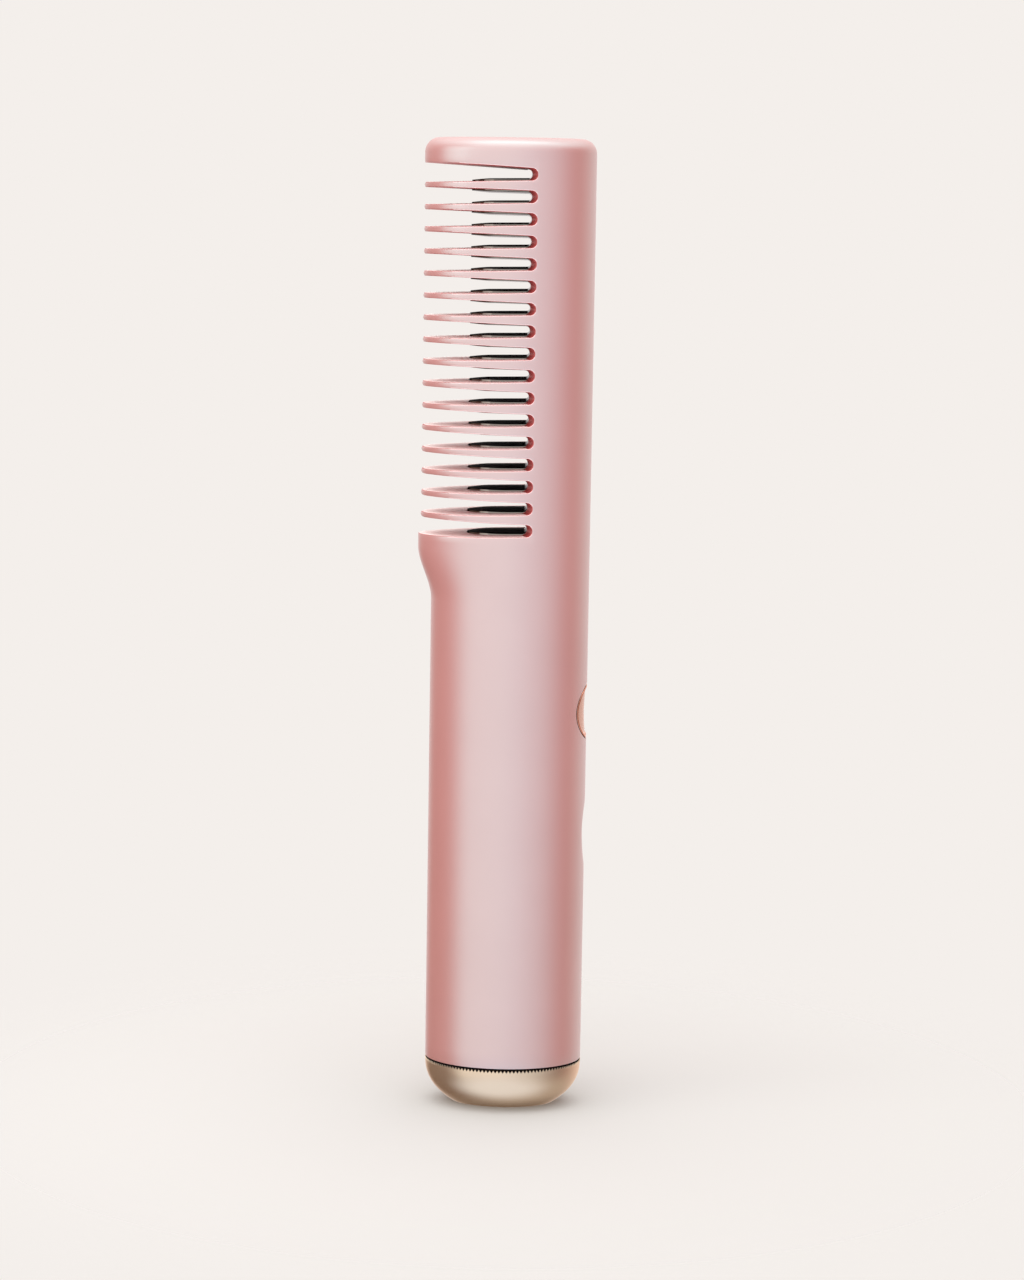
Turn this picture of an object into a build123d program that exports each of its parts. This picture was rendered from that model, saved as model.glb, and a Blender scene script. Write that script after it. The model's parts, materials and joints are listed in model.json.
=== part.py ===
"""Cordless hot comb: two toothed casing halves around a heated metal comb, on an oval battery handle.

The frame stands on the flat foot: Z runs up the handle, the teeth point to -X, the spine with the
button faces +X and the front faces -Y. All lengths are millimetres.
"""

import os
from math import cos, radians, sin, tan

from build123d import *

# Battery cell and what lies beside it across the handle, from the teeth side to the spine
cell_diameter = 18.4
cell_length = 65.2
cell_side_gap = 1.65
cell_face_gap = 1.0
cradle_space = 1.0
board_thickness = 1.0
switch_body_height = 2.5
plunger_projection = 0.7
button_flange_thickness = 0.8
flange_clearance = 0.1
ring_flange_thickness = 0.7
ring_seat_depth = 3.85

# Casing
wall = 1.8
comb_overhang = 2.35
shoulder_swell = 1.19
comb_front_ratio = 0.5
comb_tip_ratio = 0.48
circle_ratio = 0.5523
top_radius = 3.0
shoulder_rise = 11.0
shoulder_sections = 6
top_sections = 4
part_clearance = 0.2

# Heights along the handle
cap_height = 9.33
seam_gap = 0.3
end_bay_height = 10.37
handle_top_bay = 21.8
shoulder_lip = 4.24
top_block = 7.3

# Teeth
slot_count = 17
slot_pitch = 4.46
shell_slot_root_height = 1.92
shell_slot_growth = 0.065
shell_slot_root = 1.03
shell_slot_draft = 1.15
shell_slot_root_draft = 17.2
top_slot_lift = 0.63
comb_slot_root_height = 1.25
comb_slot_growth = 0.038
comb_slot_root = 3.1
comb_slot_draft = 3.3

# Heating comb and heater stack
comb_reach = 9.0
comb_half_depth = 7.5
comb_wire_gap = 0.7
comb_below_slot = 8.0
heater_count = 4
heater_thickness = 2.1
heater_width = 11.0
heater_length = 14.0
heater_pitch = 17.5
carrier_margin = 1.2
clamp_thickness = 0.8
clamp_width = 9.0
thermistor_radius = 1.0
fuse_radius = 1.25
fuse_length = 9.0
wire_radius = 0.6
wire_spacing = 6.0

# Heat barrier
barrier_thickness = 1.5
barrier_groove = 0.6
barrier_above_shoulder = 1.2

# Button and its ring
button_radius = 5.2
button_clearance = 0.15
ring_width = 0.5
ring_flange_overhang = 0.65
ring_fit = 0.05
button_flange_radius = 6.2
button_inset = 0.35
button_dish = 0.25
button_dish_radius = 36.0
button_below_board_top = 16.0
plunger_radius = 1.7
plunger_depth = 0.6
plunger_fit = 0.1
switch_size = 6.2
button_travel = 0.4

# Finger scoop with the lights behind it
scoop_depth = 0.62
scoop_radius = 34.4
button_to_scoop = 25.6
light_pitch = 3.3
light_count = 3
light_pin_radius = 1.0
light_plate_thickness = 1.2
light_plate_width = 6.0
led_height = 0.8

# Main board and cradle
board_width = 13.6
board_top_gap = 8.0
board_bottom_gap = 1.5
cradle_wall = 0.7
cradle_end_wall = 1.6
cell_clearance = 0.1
tab_thickness = 0.3
tab_width = 5.0
pad_height = 6.0
pad_offset = 5.0
wire_board_overlap = 3.0
chip_size = 7.0
chip_height = 1.0
transistor_size = 6.0
transistor_height = 2.3
connector_thickness = 2.0
connector_width = 8.0
connector_overlap = 3.0

# End frame, charging socket and base cap
collar_inset = 0.8
collar_clearance = 0.1
plate_thickness = 1.5
spigot_inset = 3.2
spigot_depth = 5.1
cap_clearance = 0.2
foot_inset = 5.81
cap_curve = 2.5
cap_sections = 7
cap_floor = 1.8
cap_pocket_height = 4.0
cap_pocket_inset = 5.9
seal_height = 1.0
seal_depth = 0.5
seal_fit = 0.08
socket_width = 8.9
socket_depth = 3.2
socket_length = 7.3
socket_wall = 0.3
tongue_thickness = 0.7
tongue_width = 6.7
charge_board_length = 20.0
charge_board_width = 6.0
post_radius = 1.2

# Screws
screw_radius = 1.0
screw_fit = 0.02
screw_hole_clearance = 0.15
screw_head_radius = 1.7
screw_head_height = 1.1
drive_radius = 0.8
drive_depth = 0.6
boss_radius = 2.3
end_screw_offset = 5.6
end_screw_length = 7.0
end_boss_height = 6.0
board_screw_length = 3.0
shell_screw_reach = 7.0
shell_screw_seat = 3.0
handle_screw_below_barrier = 5.0

# Places that follow from the sizes above
body_width = (wall + cell_side_gap + cell_diameter + cradle_space + board_thickness
              + switch_body_height + plunger_projection + button_flange_thickness
              + flange_clearance + ring_flange_thickness + ring_seat_depth)
half_width = body_width / 2
half_depth = cell_diameter / 2 + cell_face_gap + wall
cell_x = -half_width + wall + cell_side_gap + cell_diameter / 2
board_back = cell_x + cell_diameter / 2 + cradle_space
board_face = board_back + board_thickness
comb_back = board_face - comb_wire_gap
switch_face = board_face + switch_body_height
button_back = switch_face + plunger_projection
ring_back = button_back + button_flange_thickness + flange_clearance
ring_seat = ring_back + ring_flange_thickness
ring_inner_radius = button_radius + button_clearance
ring_outer_radius = ring_inner_radius + ring_width

shell_base = cap_height + seam_gap
cell_base = shell_base + end_bay_height
cell_top = cell_base + cell_length
barrier_base = cell_top + handle_top_bay
shoulder_start = barrier_base - barrier_above_shoulder
shoulder_end = shoulder_start + shoulder_rise
last_slot = shoulder_end + shoulder_lip
first_slot = last_slot + (slot_count - 1) * slot_pitch
overall_height = first_slot + top_block
slot_heights = [last_slot + step * slot_pitch for step in range(slot_count)]

board_top = barrier_base - board_top_gap
board_bottom = cell_base - board_bottom_gap
button_height = board_top - button_below_board_top
scoop_height = button_height - button_to_scoop
comb_bottom = last_slot - comb_below_slot
comb_top = first_slot + comb_slot_root_height / 2
heater_middle = (comb_bottom + comb_top) / 2
carrier_height = heater_count * heater_pitch + 2 * carrier_margin
carrier_bottom = heater_middle - carrier_height / 2
clamp_back = comb_back + heater_thickness
clamp_face = clamp_back + clamp_thickness
wire_x = board_face + wire_radius
light_face = half_width - wall - part_clearance
light_plate_base = board_face + led_height + part_clearance
collar_base = cap_height + collar_clearance
spigot_base = collar_base - spigot_depth
handle_screw_height = barrier_base - handle_screw_below_barrier - boss_radius
head_screw_height = overall_height - top_radius - screw_head_radius
head_screw_x = half_width / 2

os.makedirs("parts", exist_ok=True)


def draw_section(height, swell=0.0, inset=0.0):
    """Draw the body's outline at a height: the handle's oval at swell 0, the comb's at swell 1."""
    right = half_width - inset
    left = -(half_width + swell * comb_overhang - inset)
    depth = half_depth - inset
    front_ratio = circle_ratio + swell * (comb_front_ratio - circle_ratio)
    tip_ratio = circle_ratio + swell * (comb_tip_ratio - circle_ratio)
    with BuildSketch(Plane.XY.offset(height)) as outline:
        with BuildLine():
            for side in (-depth, depth):
                Bezier((0, side), (circle_ratio * right, side), (right, circle_ratio * side), (right, 0))
                Bezier((0, side), (front_ratio * left, side), (left, tip_ratio * side), (left, 0))
        make_face()
    return outline.sketch


def shoulder_section(share):
    """Draw the outline at a share of the shoulder's rise, easing from the handle into the comb."""
    return draw_section(shoulder_start + share * shoulder_rise,
                        swell=shoulder_swell * share * share * (3 - 2 * share))


def top_section(turn):
    """Draw the outline where the rounded top edge has turned by an angle in degrees."""
    return draw_section(overall_height - top_radius * (1 - sin(radians(turn))), swell=1.0,
                        inset=top_radius * (1 - cos(radians(turn))))


def draw_comb_plan(height, clearance=0.0):
    """Draw the heating comb's outline from above: a half ellipse in front of a straight bar."""
    with BuildSketch(Plane.XY.offset(height)) as outline:
        Ellipse(comb_reach + clearance, comb_half_depth + clearance)
        Rectangle(comb_reach + clearance, 2 * (comb_half_depth + clearance),
                  align=(Align.MIN, Align.CENTER), mode=Mode.SUBTRACT)
        Rectangle(comb_back, 2 * (comb_half_depth + clearance), align=(Align.MIN, Align.CENTER))
    return outline.sketch


def draw_slot(plane, height, root, root_height, growth, lift=0.0):
    """Draw one wedge-shaped slot between two teeth, round at the root, on a plane that faces the front."""
    mouth = -(half_width + 2 * comb_overhang)
    turn = root - root_height / 2
    reach = root_height / 2 + growth * (turn - mouth) / 2
    with BuildSketch(plane) as slot:
        with BuildLine():
            Polyline((turn, height + root_height / 2), (mouth, height + reach + lift),
                     (mouth, height - reach), (turn, height - root_height / 2))
            ThreePointArc((turn, height - root_height / 2), (root, height),
                          (turn, height + root_height / 2))
        make_face()
    return slot.sketch


def add_shell_slots(side):
    """Add the bodies of the slots on one side: their roots slope in towards the heating comb."""
    depth = half_depth + wall
    outer_root = shell_slot_root + depth * tan(radians(shell_slot_root_draft))
    widening = 2 * depth * tan(radians(shell_slot_draft))
    narrowing = shell_slot_growth * (outer_root - shell_slot_root - widening / 2)
    for height in slot_heights:
        lift = top_slot_lift if height == first_slot else 0.0
        loft([draw_slot(Plane.XZ, height, shell_slot_root, shell_slot_root_height + narrowing,
                        shell_slot_growth, lift),
              draw_slot(Plane.XZ.offset(side * depth), height, outer_root,
                        shell_slot_root_height + widening, shell_slot_growth, lift)])


def add_screw(seat, shank_length):
    """Add a cap screw: its head stands on the seat plane and its shank runs the other way."""
    with BuildSketch(seat) as head:
        Circle(screw_head_radius)
    with BuildSketch(seat) as shank:
        Circle(screw_radius)
    with BuildSketch(seat.offset(screw_head_height)) as drive:
        RegularPolygon(drive_radius, 6)
    extrude(head.sketch, amount=screw_head_height)
    extrude(shank.sketch, amount=-shank_length)
    extrude(drive.sketch, amount=-drive_depth, mode=Mode.SUBTRACT)


def cut_bore(mouth, radius, depth):
    """Cut a round hole that starts on the mouth plane and goes against its normal."""
    with BuildSketch(mouth) as hole:
        Circle(radius)
    extrude(hole.sketch, amount=-depth, mode=Mode.SUBTRACT)


# Casing: the whole outer body with its cavities, before it is parted into the two shells

spine_plane = Plane(origin=(ring_seat, 0, button_height), x_dir=(0, 1, 0), z_dir=(1, 0, 0))

with BuildPart() as slot_cutter:
    add_shell_slots(-1)
    add_shell_slots(1)

with BuildPart() as casing:
    extrude(draw_section(shell_base), amount=shoulder_start - shell_base)
    loft([shoulder_section(step / shoulder_sections) for step in range(shoulder_sections + 1)])
    extrude(draw_section(shoulder_end, swell=shoulder_swell), amount=last_slot - shoulder_end)
    extrude(draw_section(last_slot, swell=1.0), amount=overall_height - top_radius - last_slot)
    loft([top_section(90 * step / top_sections) for step in range(top_sections + 1)])

    # Handle bay, groove of the heat barrier, heater bay and the comb's pocket
    extrude(draw_section(shell_base, inset=wall), amount=comb_bottom - shell_base, mode=Mode.SUBTRACT)
    extrude(draw_section(barrier_base - part_clearance / 2, inset=wall - barrier_groove),
            amount=barrier_thickness + part_clearance, mode=Mode.SUBTRACT)
    with BuildSketch(Plane.XY.offset(comb_bottom)):
        with BuildLine():
            depth = half_depth - wall
            right = half_width - wall
            for side in (-depth, depth):
                Bezier((0, side), (circle_ratio * right, side), (right, circle_ratio * side), (right, 0))
            Line((0, -depth), (0, depth))
        make_face()
        with Locations((comb_back, 0)):
            Rectangle(2 * body_width, 2 * body_width, align=(Align.MAX, Align.CENTER), mode=Mode.SUBTRACT)
    extrude(amount=comb_top - comb_bottom, mode=Mode.SUBTRACT)
    extrude(draw_comb_plan(comb_bottom - part_clearance, clearance=part_clearance),
            amount=comb_top - comb_bottom + 2 * part_clearance, mode=Mode.SUBTRACT)

    # Slots between the teeth, widening outwards
    add(slot_cutter.part, mode=Mode.SUBTRACT)

    # Screw boss across the top of the handle
    with BuildSketch(Plane.XZ.offset(-half_depth + wall / 2)):
        with Locations((0, handle_screw_height)):
            Circle(boss_radius)
    extrude(amount=2 * half_depth - wall)

    # Scoop and button opening on the spine
    with Locations((half_width - scoop_depth + scoop_radius, 0, scoop_height)):
        Sphere(scoop_radius, mode=Mode.SUBTRACT)
    with BuildSketch(spine_plane):
        Circle(ring_outer_radius + ring_fit)
    extrude(amount=ring_seat_depth + wall, mode=Mode.SUBTRACT)
    cut_bore(spine_plane, ring_outer_radius + ring_flange_overhang + ring_fit, ring_seat - board_face)

front_end_seat = Plane(origin=(0, -end_screw_offset, shell_base), z_dir=(0, 0, -1))
rear_end_seat = Plane(origin=(0, end_screw_offset, shell_base), z_dir=(0, 0, -1))
handle_screw_seat = Plane(origin=(0, half_depth - shell_screw_seat, handle_screw_height),
                          z_dir=(0, 1, 0))
head_screw_seat = Plane(origin=(head_screw_x, half_depth - shell_screw_seat, head_screw_height),
                        z_dir=(0, 1, 0))


def add_end_boss(side):
    """Add the boss that the end screw bites into, with its rib to the casing's wall."""
    base = Plane.XY.offset(shell_base + plate_thickness)
    with BuildSketch(base) as boss:
        with Locations((0, side * end_screw_offset)):
            Circle(boss_radius)
        with Locations((0, side * (half_depth - wall / 2 + end_screw_offset) / 2)):
            Rectangle(boss_radius, half_depth - wall / 2 - end_screw_offset)
    extrude(boss.sketch, amount=end_boss_height)


with BuildPart() as front_shell:
    add(casing.part)
    split(bisect_by=Plane.XZ, keep=Keep.TOP)
    add_end_boss(-1)
    cut_bore(front_end_seat, screw_radius + screw_fit, end_screw_length + screw_hole_clearance)
    for seat in (handle_screw_seat, head_screw_seat):
        cut_bore(seat, screw_radius + screw_fit, half_depth - shell_screw_seat + shell_screw_reach)

with BuildPart() as rear_shell:
    add(casing.part)
    split(bisect_by=Plane.XZ, keep=Keep.BOTTOM)
    add_end_boss(1)
    cut_bore(rear_end_seat, screw_radius + screw_fit, end_screw_length + screw_hole_clearance)
    for seat in (handle_screw_seat, head_screw_seat):
        cut_bore(seat, screw_radius + screw_hole_clearance, half_depth)
        cut_bore(seat.offset(half_depth), screw_head_radius + screw_hole_clearance, half_depth)

with BuildPart() as shell_screws:
    for seat in (handle_screw_seat, head_screw_seat):
        add_screw(seat, half_depth - shell_screw_seat + shell_screw_reach - part_clearance)

# Heating comb: a cast bar with crowned teeth between the pink ones

heater_heights = [heater_middle + (step - (heater_count - 1) / 2) * heater_pitch
                  for step in range(heater_count)]
screw_heights = [heater_middle + (step - (heater_count - 2) / 2) * heater_pitch
                 for step in range(heater_count - 1)]
clamp_screw_depth = comb_back - comb_slot_root - comb_slot_root_height / 2

with BuildPart() as heating_comb:
    extrude(draw_comb_plan(comb_bottom), amount=comb_top - comb_bottom)
    for height in slot_heights:
        extrude(draw_slot(Plane.XZ, height, comb_slot_root, comb_slot_root_height, comb_slot_growth),
                amount=2 * comb_half_depth, both=True, taper=-comb_slot_draft, mode=Mode.SUBTRACT)
    for height in screw_heights:
        cut_bore(Plane(origin=(comb_back, 0, height), z_dir=(1, 0, 0)),
                 screw_radius + screw_fit, clamp_screw_depth)

# Heater stack on the comb's back

back_plane = Plane(origin=(comb_back, 0, 0), x_dir=(0, 1, 0), z_dir=(1, 0, 0))
clamp_plane = back_plane.offset(heater_thickness)
thermistor_place = (heater_width / 2 - thermistor_radius - part_clearance, screw_heights[0])

with BuildPart() as ptc_heaters:
    with BuildSketch(back_plane):
        with Locations([(0, height) for height in heater_heights]):
            Rectangle(heater_width, heater_length)
    extrude(amount=heater_thickness)

with BuildPart() as heater_carrier:
    with BuildSketch(back_plane):
        with Locations((0, heater_middle)):
            Rectangle(2 * comb_half_depth - carrier_margin, carrier_height)
        with Locations([(0, height) for height in heater_heights]):
            Rectangle(heater_width + part_clearance, heater_length + part_clearance, mode=Mode.SUBTRACT)
        with Locations([(0, height) for height in screw_heights]):
            Circle(screw_radius + screw_hole_clearance, mode=Mode.SUBTRACT)
        with Locations(thermistor_place):
            Circle(thermistor_radius + part_clearance, mode=Mode.SUBTRACT)
    extrude(amount=heater_thickness)

with BuildPart() as heater_clamp:
    with BuildSketch(clamp_plane):
        with Locations((0, heater_middle)):
            RectangleRounded(clamp_width, heater_count * heater_pitch, clamp_width / 4)
        with Locations([(0, height) for height in screw_heights]):
            Circle(screw_radius + screw_hole_clearance, mode=Mode.SUBTRACT)
        with Locations([(0, height) for height in heater_heights]):
            Rectangle(clamp_width / 4, heater_length / 2, mode=Mode.SUBTRACT)
    extrude(amount=clamp_thickness)

with BuildPart() as clamp_screws:
    for height in screw_heights:
        seat = Plane(origin=(clamp_face, 0, height), z_dir=(1, 0, 0))
        add_screw(seat, clamp_thickness + heater_thickness + clamp_screw_depth - part_clearance)

with BuildPart() as thermistor:
    with BuildSketch(back_plane):
        with Locations(thermistor_place):
            Circle(thermistor_radius)
    extrude(amount=heater_thickness)
    chamfer(thermistor.edges().filter_by(GeomType.CIRCLE).sort_by(Axis.X)[-1], thermistor_radius / 2)

with BuildPart() as thermal_fuse:
    with Locations((clamp_face + fuse_radius, 0, heater_heights[0])):
        Cylinder(fuse_radius, fuse_length)
        Cylinder(fuse_radius / 3, 1.5 * fuse_length)

wire_places = [(wire_x, -wire_spacing / 2), (wire_x, wire_spacing / 2)]

with BuildPart() as heater_wires:
    with BuildSketch(Plane.XY.offset(board_top - wire_board_overlap)):
        with Locations(wire_places):
            Circle(wire_radius)
    extrude(amount=carrier_bottom - board_top + wire_board_overlap)

with BuildPart() as heat_barrier:
    extrude(draw_section(barrier_base, inset=wall - barrier_groove + part_clearance / 2),
            amount=barrier_thickness)
    with BuildSketch(Plane.XY.offset(barrier_base)):
        with Locations(wire_places):
            Circle(wire_radius + part_clearance)
    extrude(amount=barrier_thickness, mode=Mode.SUBTRACT)

# Battery cell, its cradle and tabs

end_wall_gap = tab_thickness + cell_clearance
low_wall_base = cell_base - end_wall_gap - cradle_end_wall
high_wall_base = cell_top + end_wall_gap

with BuildPart() as battery_cell:
    with BuildSketch(Plane.XY.offset(cell_base)):
        with Locations((cell_x, 0)):
            Circle(cell_diameter / 2)
    extrude(amount=cell_length)
    chamfer(battery_cell.edges().filter_by(GeomType.CIRCLE), cell_clearance * 4)

with BuildPart() as battery_tabs:
    for base in (cell_base - tab_thickness, cell_top):
        with BuildSketch(Plane.XY.offset(base)):
            with Locations((board_back, 0)):
                Rectangle(board_back - cell_x + tab_width / 2, tab_width, align=(Align.MAX, Align.CENTER))
        extrude(amount=tab_thickness)

pad_places = [(pad_offset, low_wall_base + cradle_end_wall + pad_height),
              (-pad_offset, high_wall_base - pad_height)]
board_plane = Plane(origin=(board_back, 0, 0), x_dir=(0, 1, 0), z_dir=(1, 0, 0))
board_front_plane = board_plane.offset(board_thickness)

with BuildPart() as battery_cradle:
    with BuildSketch(Plane.XY.offset(low_wall_base)):
        with Locations((cell_x, 0)):
            Circle(cell_diameter / 2 + cell_clearance + cradle_wall)
        with Locations((cell_x + cell_diameter / 4, 0)):
            Rectangle(2 * cell_diameter, 2 * cell_diameter, align=(Align.MAX, Align.CENTER),
                      mode=Mode.SUBTRACT)
    extrude(amount=high_wall_base + cradle_end_wall - low_wall_base)
    with BuildSketch(board_plane):
        with Locations(pad_places):
            Rectangle(2 * boss_radius, pad_height)
    extrude(amount=cell_x - board_back)
    with BuildSketch(Plane.XY.offset(low_wall_base)):
        with Locations((cell_x, 0)):
            Circle(cell_diameter / 2 + cell_clearance)
    extrude(amount=high_wall_base + cradle_end_wall - low_wall_base, mode=Mode.SUBTRACT)
    for base in (low_wall_base, high_wall_base):
        extrude(draw_section(base, inset=wall + part_clearance), amount=cradle_end_wall)
        with BuildSketch(Plane.XY.offset(base)):
            with Locations((board_back - part_clearance, 0)):
                Rectangle(body_width, body_width, align=(Align.MIN, Align.CENTER))
        extrude(amount=cradle_end_wall, mode=Mode.SUBTRACT)
    for base in (cell_base - end_wall_gap, cell_top - part_clearance):
        with BuildSketch(Plane.XY.offset(base)):
            with Locations((board_back, 0)):
                Rectangle(cell_diameter / 2, tab_width + 2 * part_clearance, align=(Align.MAX, Align.CENTER))
        extrude(amount=end_wall_gap + part_clearance, mode=Mode.SUBTRACT)
    for across, height in pad_places:
        seat = Plane(origin=(board_face, across, height), z_dir=(1, 0, 0))
        cut_bore(seat, screw_radius + screw_fit, board_screw_length + part_clearance)

# Main board with its parts and screws

with BuildPart() as main_board:
    with BuildSketch(board_plane):
        with Locations((0, (board_top + board_bottom) / 2)):
            RectangleRounded(board_width, board_top - board_bottom, part_clearance * 5)
        with Locations(pad_places):
            Circle(screw_radius + screw_hole_clearance, mode=Mode.SUBTRACT)
    extrude(amount=board_thickness)

with BuildPart() as board_screws:
    for across, height in pad_places:
        add_screw(Plane(origin=(board_face, across, height), z_dir=(1, 0, 0)), board_screw_length)

with BuildPart() as control_chip:
    with BuildSketch(board_front_plane):
        with Locations((0, (button_height + scoop_height) / 2)):
            Rectangle(chip_size, chip_size)
    extrude(amount=chip_height)

with BuildPart() as power_transistor:
    with BuildSketch(board_front_plane):
        with Locations((0, board_top - wire_board_overlap - transistor_size)):
            Rectangle(transistor_size, transistor_size)
    extrude(amount=transistor_height)

with BuildPart() as power_switch:
    with BuildSketch(board_front_plane):
        with Locations((0, button_height)):
            RectangleRounded(switch_size, switch_size, part_clearance)
    extrude(amount=switch_body_height)
    cut_bore(Plane(origin=(switch_face, 0, button_height), z_dir=(1, 0, 0)),
             plunger_radius + plunger_fit, plunger_depth + button_travel + plunger_fit)

with BuildPart() as switch_plunger:
    with BuildSketch(Plane(origin=(button_back, 0, button_height), z_dir=(1, 0, 0))):
        Circle(plunger_radius)
    extrude(amount=-plunger_projection - plunger_depth)

light_heights = [scoop_height + (step - (light_count - 1) / 2) * light_pitch
                 for step in range(light_count)]
light_plate_length = (light_count + 1) * light_pitch

with BuildPart() as indicator_leds:
    with BuildSketch(board_front_plane):
        with Locations([(0, height) for height in light_heights]):
            Rectangle(2 * led_height, led_height)
    extrude(amount=led_height)

with BuildPart() as light_guide:
    with BuildSketch(board_plane.offset(light_plate_base - board_back)):
        with Locations((0, scoop_height)):
            Rectangle(light_plate_width, light_plate_length)
    extrude(amount=light_plate_thickness)
    with BuildSketch(board_front_plane):
        with Locations((0, scoop_height)):
            Rectangle(light_plate_width, light_plate_length)
            Rectangle(light_plate_width, light_plate_length - 2 * light_pin_radius, mode=Mode.SUBTRACT)
    extrude(amount=light_plate_base - board_face)
    with BuildSketch(board_plane.offset(light_plate_base - board_back)):
        with Locations([(0, height) for height in light_heights]):
            Circle(light_pin_radius)
    extrude(amount=light_face - light_plate_base)

# Button and its ring, both cut flush with the oval of the handle


def handle_oval(inset=0.0):
    """Return a sketch of the handle's oval that lies below the button, for trimming its pieces."""
    return draw_section(button_height - 2 * ring_outer_radius, inset=inset)


with BuildPart() as button_ring:
    with BuildSketch(spine_plane):
        Circle(ring_outer_radius)
        Circle(ring_inner_radius, mode=Mode.SUBTRACT)
    extrude(amount=ring_seat_depth + wall)
    extrude(handle_oval(), amount=4 * ring_outer_radius, mode=Mode.INTERSECT)
    with BuildSketch(spine_plane):
        Circle(ring_outer_radius + ring_flange_overhang)
        Circle(ring_inner_radius, mode=Mode.SUBTRACT)
    extrude(amount=-ring_flange_thickness)

with BuildPart() as power_button:
    with BuildSketch(spine_plane):
        Circle(button_radius)
    extrude(amount=ring_seat_depth)
    extrude(handle_oval(button_inset), amount=4 * ring_outer_radius, mode=Mode.INTERSECT)
    with BuildSketch(spine_plane):
        Circle(button_radius)
    extrude(amount=button_back - ring_seat)
    with BuildSketch(spine_plane.offset(button_back - ring_seat)):
        Circle(button_flange_radius)
    extrude(amount=button_flange_thickness)
    with Locations((half_width - button_inset - button_dish + button_dish_radius, 0, button_height)):
        Sphere(button_dish_radius, mode=Mode.SUBTRACT)

# End frame that closes the shells and carries the charging socket, and the pull-off base cap

end_seats = [front_end_seat, rear_end_seat]
seal_base = spigot_base + (spigot_depth - seal_height) / 2
socket_top = spigot_base + socket_length

with BuildPart() as end_frame:
    extrude(draw_section(spigot_base, inset=spigot_inset), amount=spigot_depth)
    extrude(draw_section(collar_base, inset=collar_inset), amount=shell_base - collar_base)
    extrude(draw_section(shell_base, inset=wall + part_clearance), amount=plate_thickness)
    extrude(draw_section(seal_base, inset=spigot_inset - part_clearance)
            - draw_section(seal_base, inset=spigot_inset + seal_depth),
            amount=seal_height, mode=Mode.SUBTRACT)
    with BuildSketch(Plane.XY.offset(spigot_base)):
        RectangleRounded(socket_width + screw_fit, socket_depth + screw_fit, socket_depth / 2 - socket_wall)
    extrude(amount=socket_length, mode=Mode.SUBTRACT)
    with BuildSketch(Plane.XY.offset(shell_base + plate_thickness)):
        with GridLocations(charge_board_length - 4 * post_radius, 0, 2, 1):
            Circle(post_radius)
    extrude(amount=socket_top - shell_base - plate_thickness)
    for seat in end_seats:
        cut_bore(seat, screw_radius + screw_hole_clearance, plate_thickness)
        cut_bore(seat.offset(shell_base - spigot_base), screw_head_radius + screw_hole_clearance,
                 shell_base - spigot_base)

with BuildPart() as end_screws:
    for seat in end_seats:
        add_screw(seat, end_screw_length)

with BuildPart() as seal_ring:
    extrude(draw_section(seal_base + seal_fit, inset=spigot_inset - cap_clearance + seal_fit)
            - draw_section(seal_base + seal_fit, inset=spigot_inset + seal_depth),
            amount=seal_height - 2 * seal_fit)

with BuildPart() as usb_socket:
    with BuildSketch(Plane.XY.offset(spigot_base)):
        RectangleRounded(socket_width, socket_depth, socket_depth / 2 - socket_wall)
    extrude(amount=socket_length)
    with BuildSketch(Plane.XY.offset(spigot_base)):
        RectangleRounded(socket_width - 2 * socket_wall, socket_depth - 2 * socket_wall,
                         socket_depth / 2 - 2 * socket_wall)
    extrude(amount=socket_length - 2 * socket_wall, mode=Mode.SUBTRACT)
    with BuildSketch(Plane.XY.offset(socket_top)):
        Rectangle(tongue_width, tongue_thickness)
    extrude(amount=2 * socket_wall - socket_length)

with BuildPart() as charge_board:
    with BuildSketch(Plane.XY.offset(socket_top)):
        RectangleRounded(charge_board_length, charge_board_width, part_clearance * 5)
    extrude(amount=board_thickness)

with BuildPart() as board_connector:
    with BuildSketch(Plane.XY.offset(socket_top + board_thickness)):
        with Locations((board_face, 0)):
            Rectangle(connector_thickness, connector_width, align=(Align.MIN, Align.CENTER))
    extrude(amount=board_bottom + connector_overlap - socket_top - board_thickness)


def cap_section(share):
    """Draw the cap's outline at a share of its height, curving in towards the foot."""
    return draw_section(cap_height * share, inset=foot_inset * (1 - share) ** cap_curve)


with BuildPart() as base_cap:
    loft([cap_section(step / cap_sections) for step in range(cap_sections + 1)])
    extrude(draw_section(cap_pocket_height, inset=spigot_inset - cap_clearance),
            amount=cap_height - cap_pocket_height, mode=Mode.SUBTRACT)
    extrude(draw_section(cap_floor, inset=cap_pocket_inset),
            amount=cap_pocket_height - cap_floor, mode=Mode.SUBTRACT)

pieces = {
    "front_shell": front_shell,
    "rear_shell": rear_shell,
    "shell_screws": shell_screws,
    "heating_comb": heating_comb,
    "ptc_heaters": ptc_heaters,
    "heater_carrier": heater_carrier,
    "heater_clamp": heater_clamp,
    "clamp_screws": clamp_screws,
    "thermistor": thermistor,
    "thermal_fuse": thermal_fuse,
    "heater_wires": heater_wires,
    "heat_barrier": heat_barrier,
    "battery_cell": battery_cell,
    "battery_tabs": battery_tabs,
    "battery_cradle": battery_cradle,
    "main_board": main_board,
    "board_screws": board_screws,
    "control_chip": control_chip,
    "power_transistor": power_transistor,
    "power_switch": power_switch,
    "switch_plunger": switch_plunger,
    "indicator_leds": indicator_leds,
    "light_guide": light_guide,
    "button_ring": button_ring,
    "power_button": power_button,
    "end_frame": end_frame,
    "end_screws": end_screws,
    "seal_ring": seal_ring,
    "usb_socket": usb_socket,
    "charge_board": charge_board,
    "board_connector": board_connector,
    "base_cap": base_cap,
}

for name, piece in pieces.items():
    piece.part.label = name
    export_step(piece.part, f"parts/{name}.step")
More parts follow.
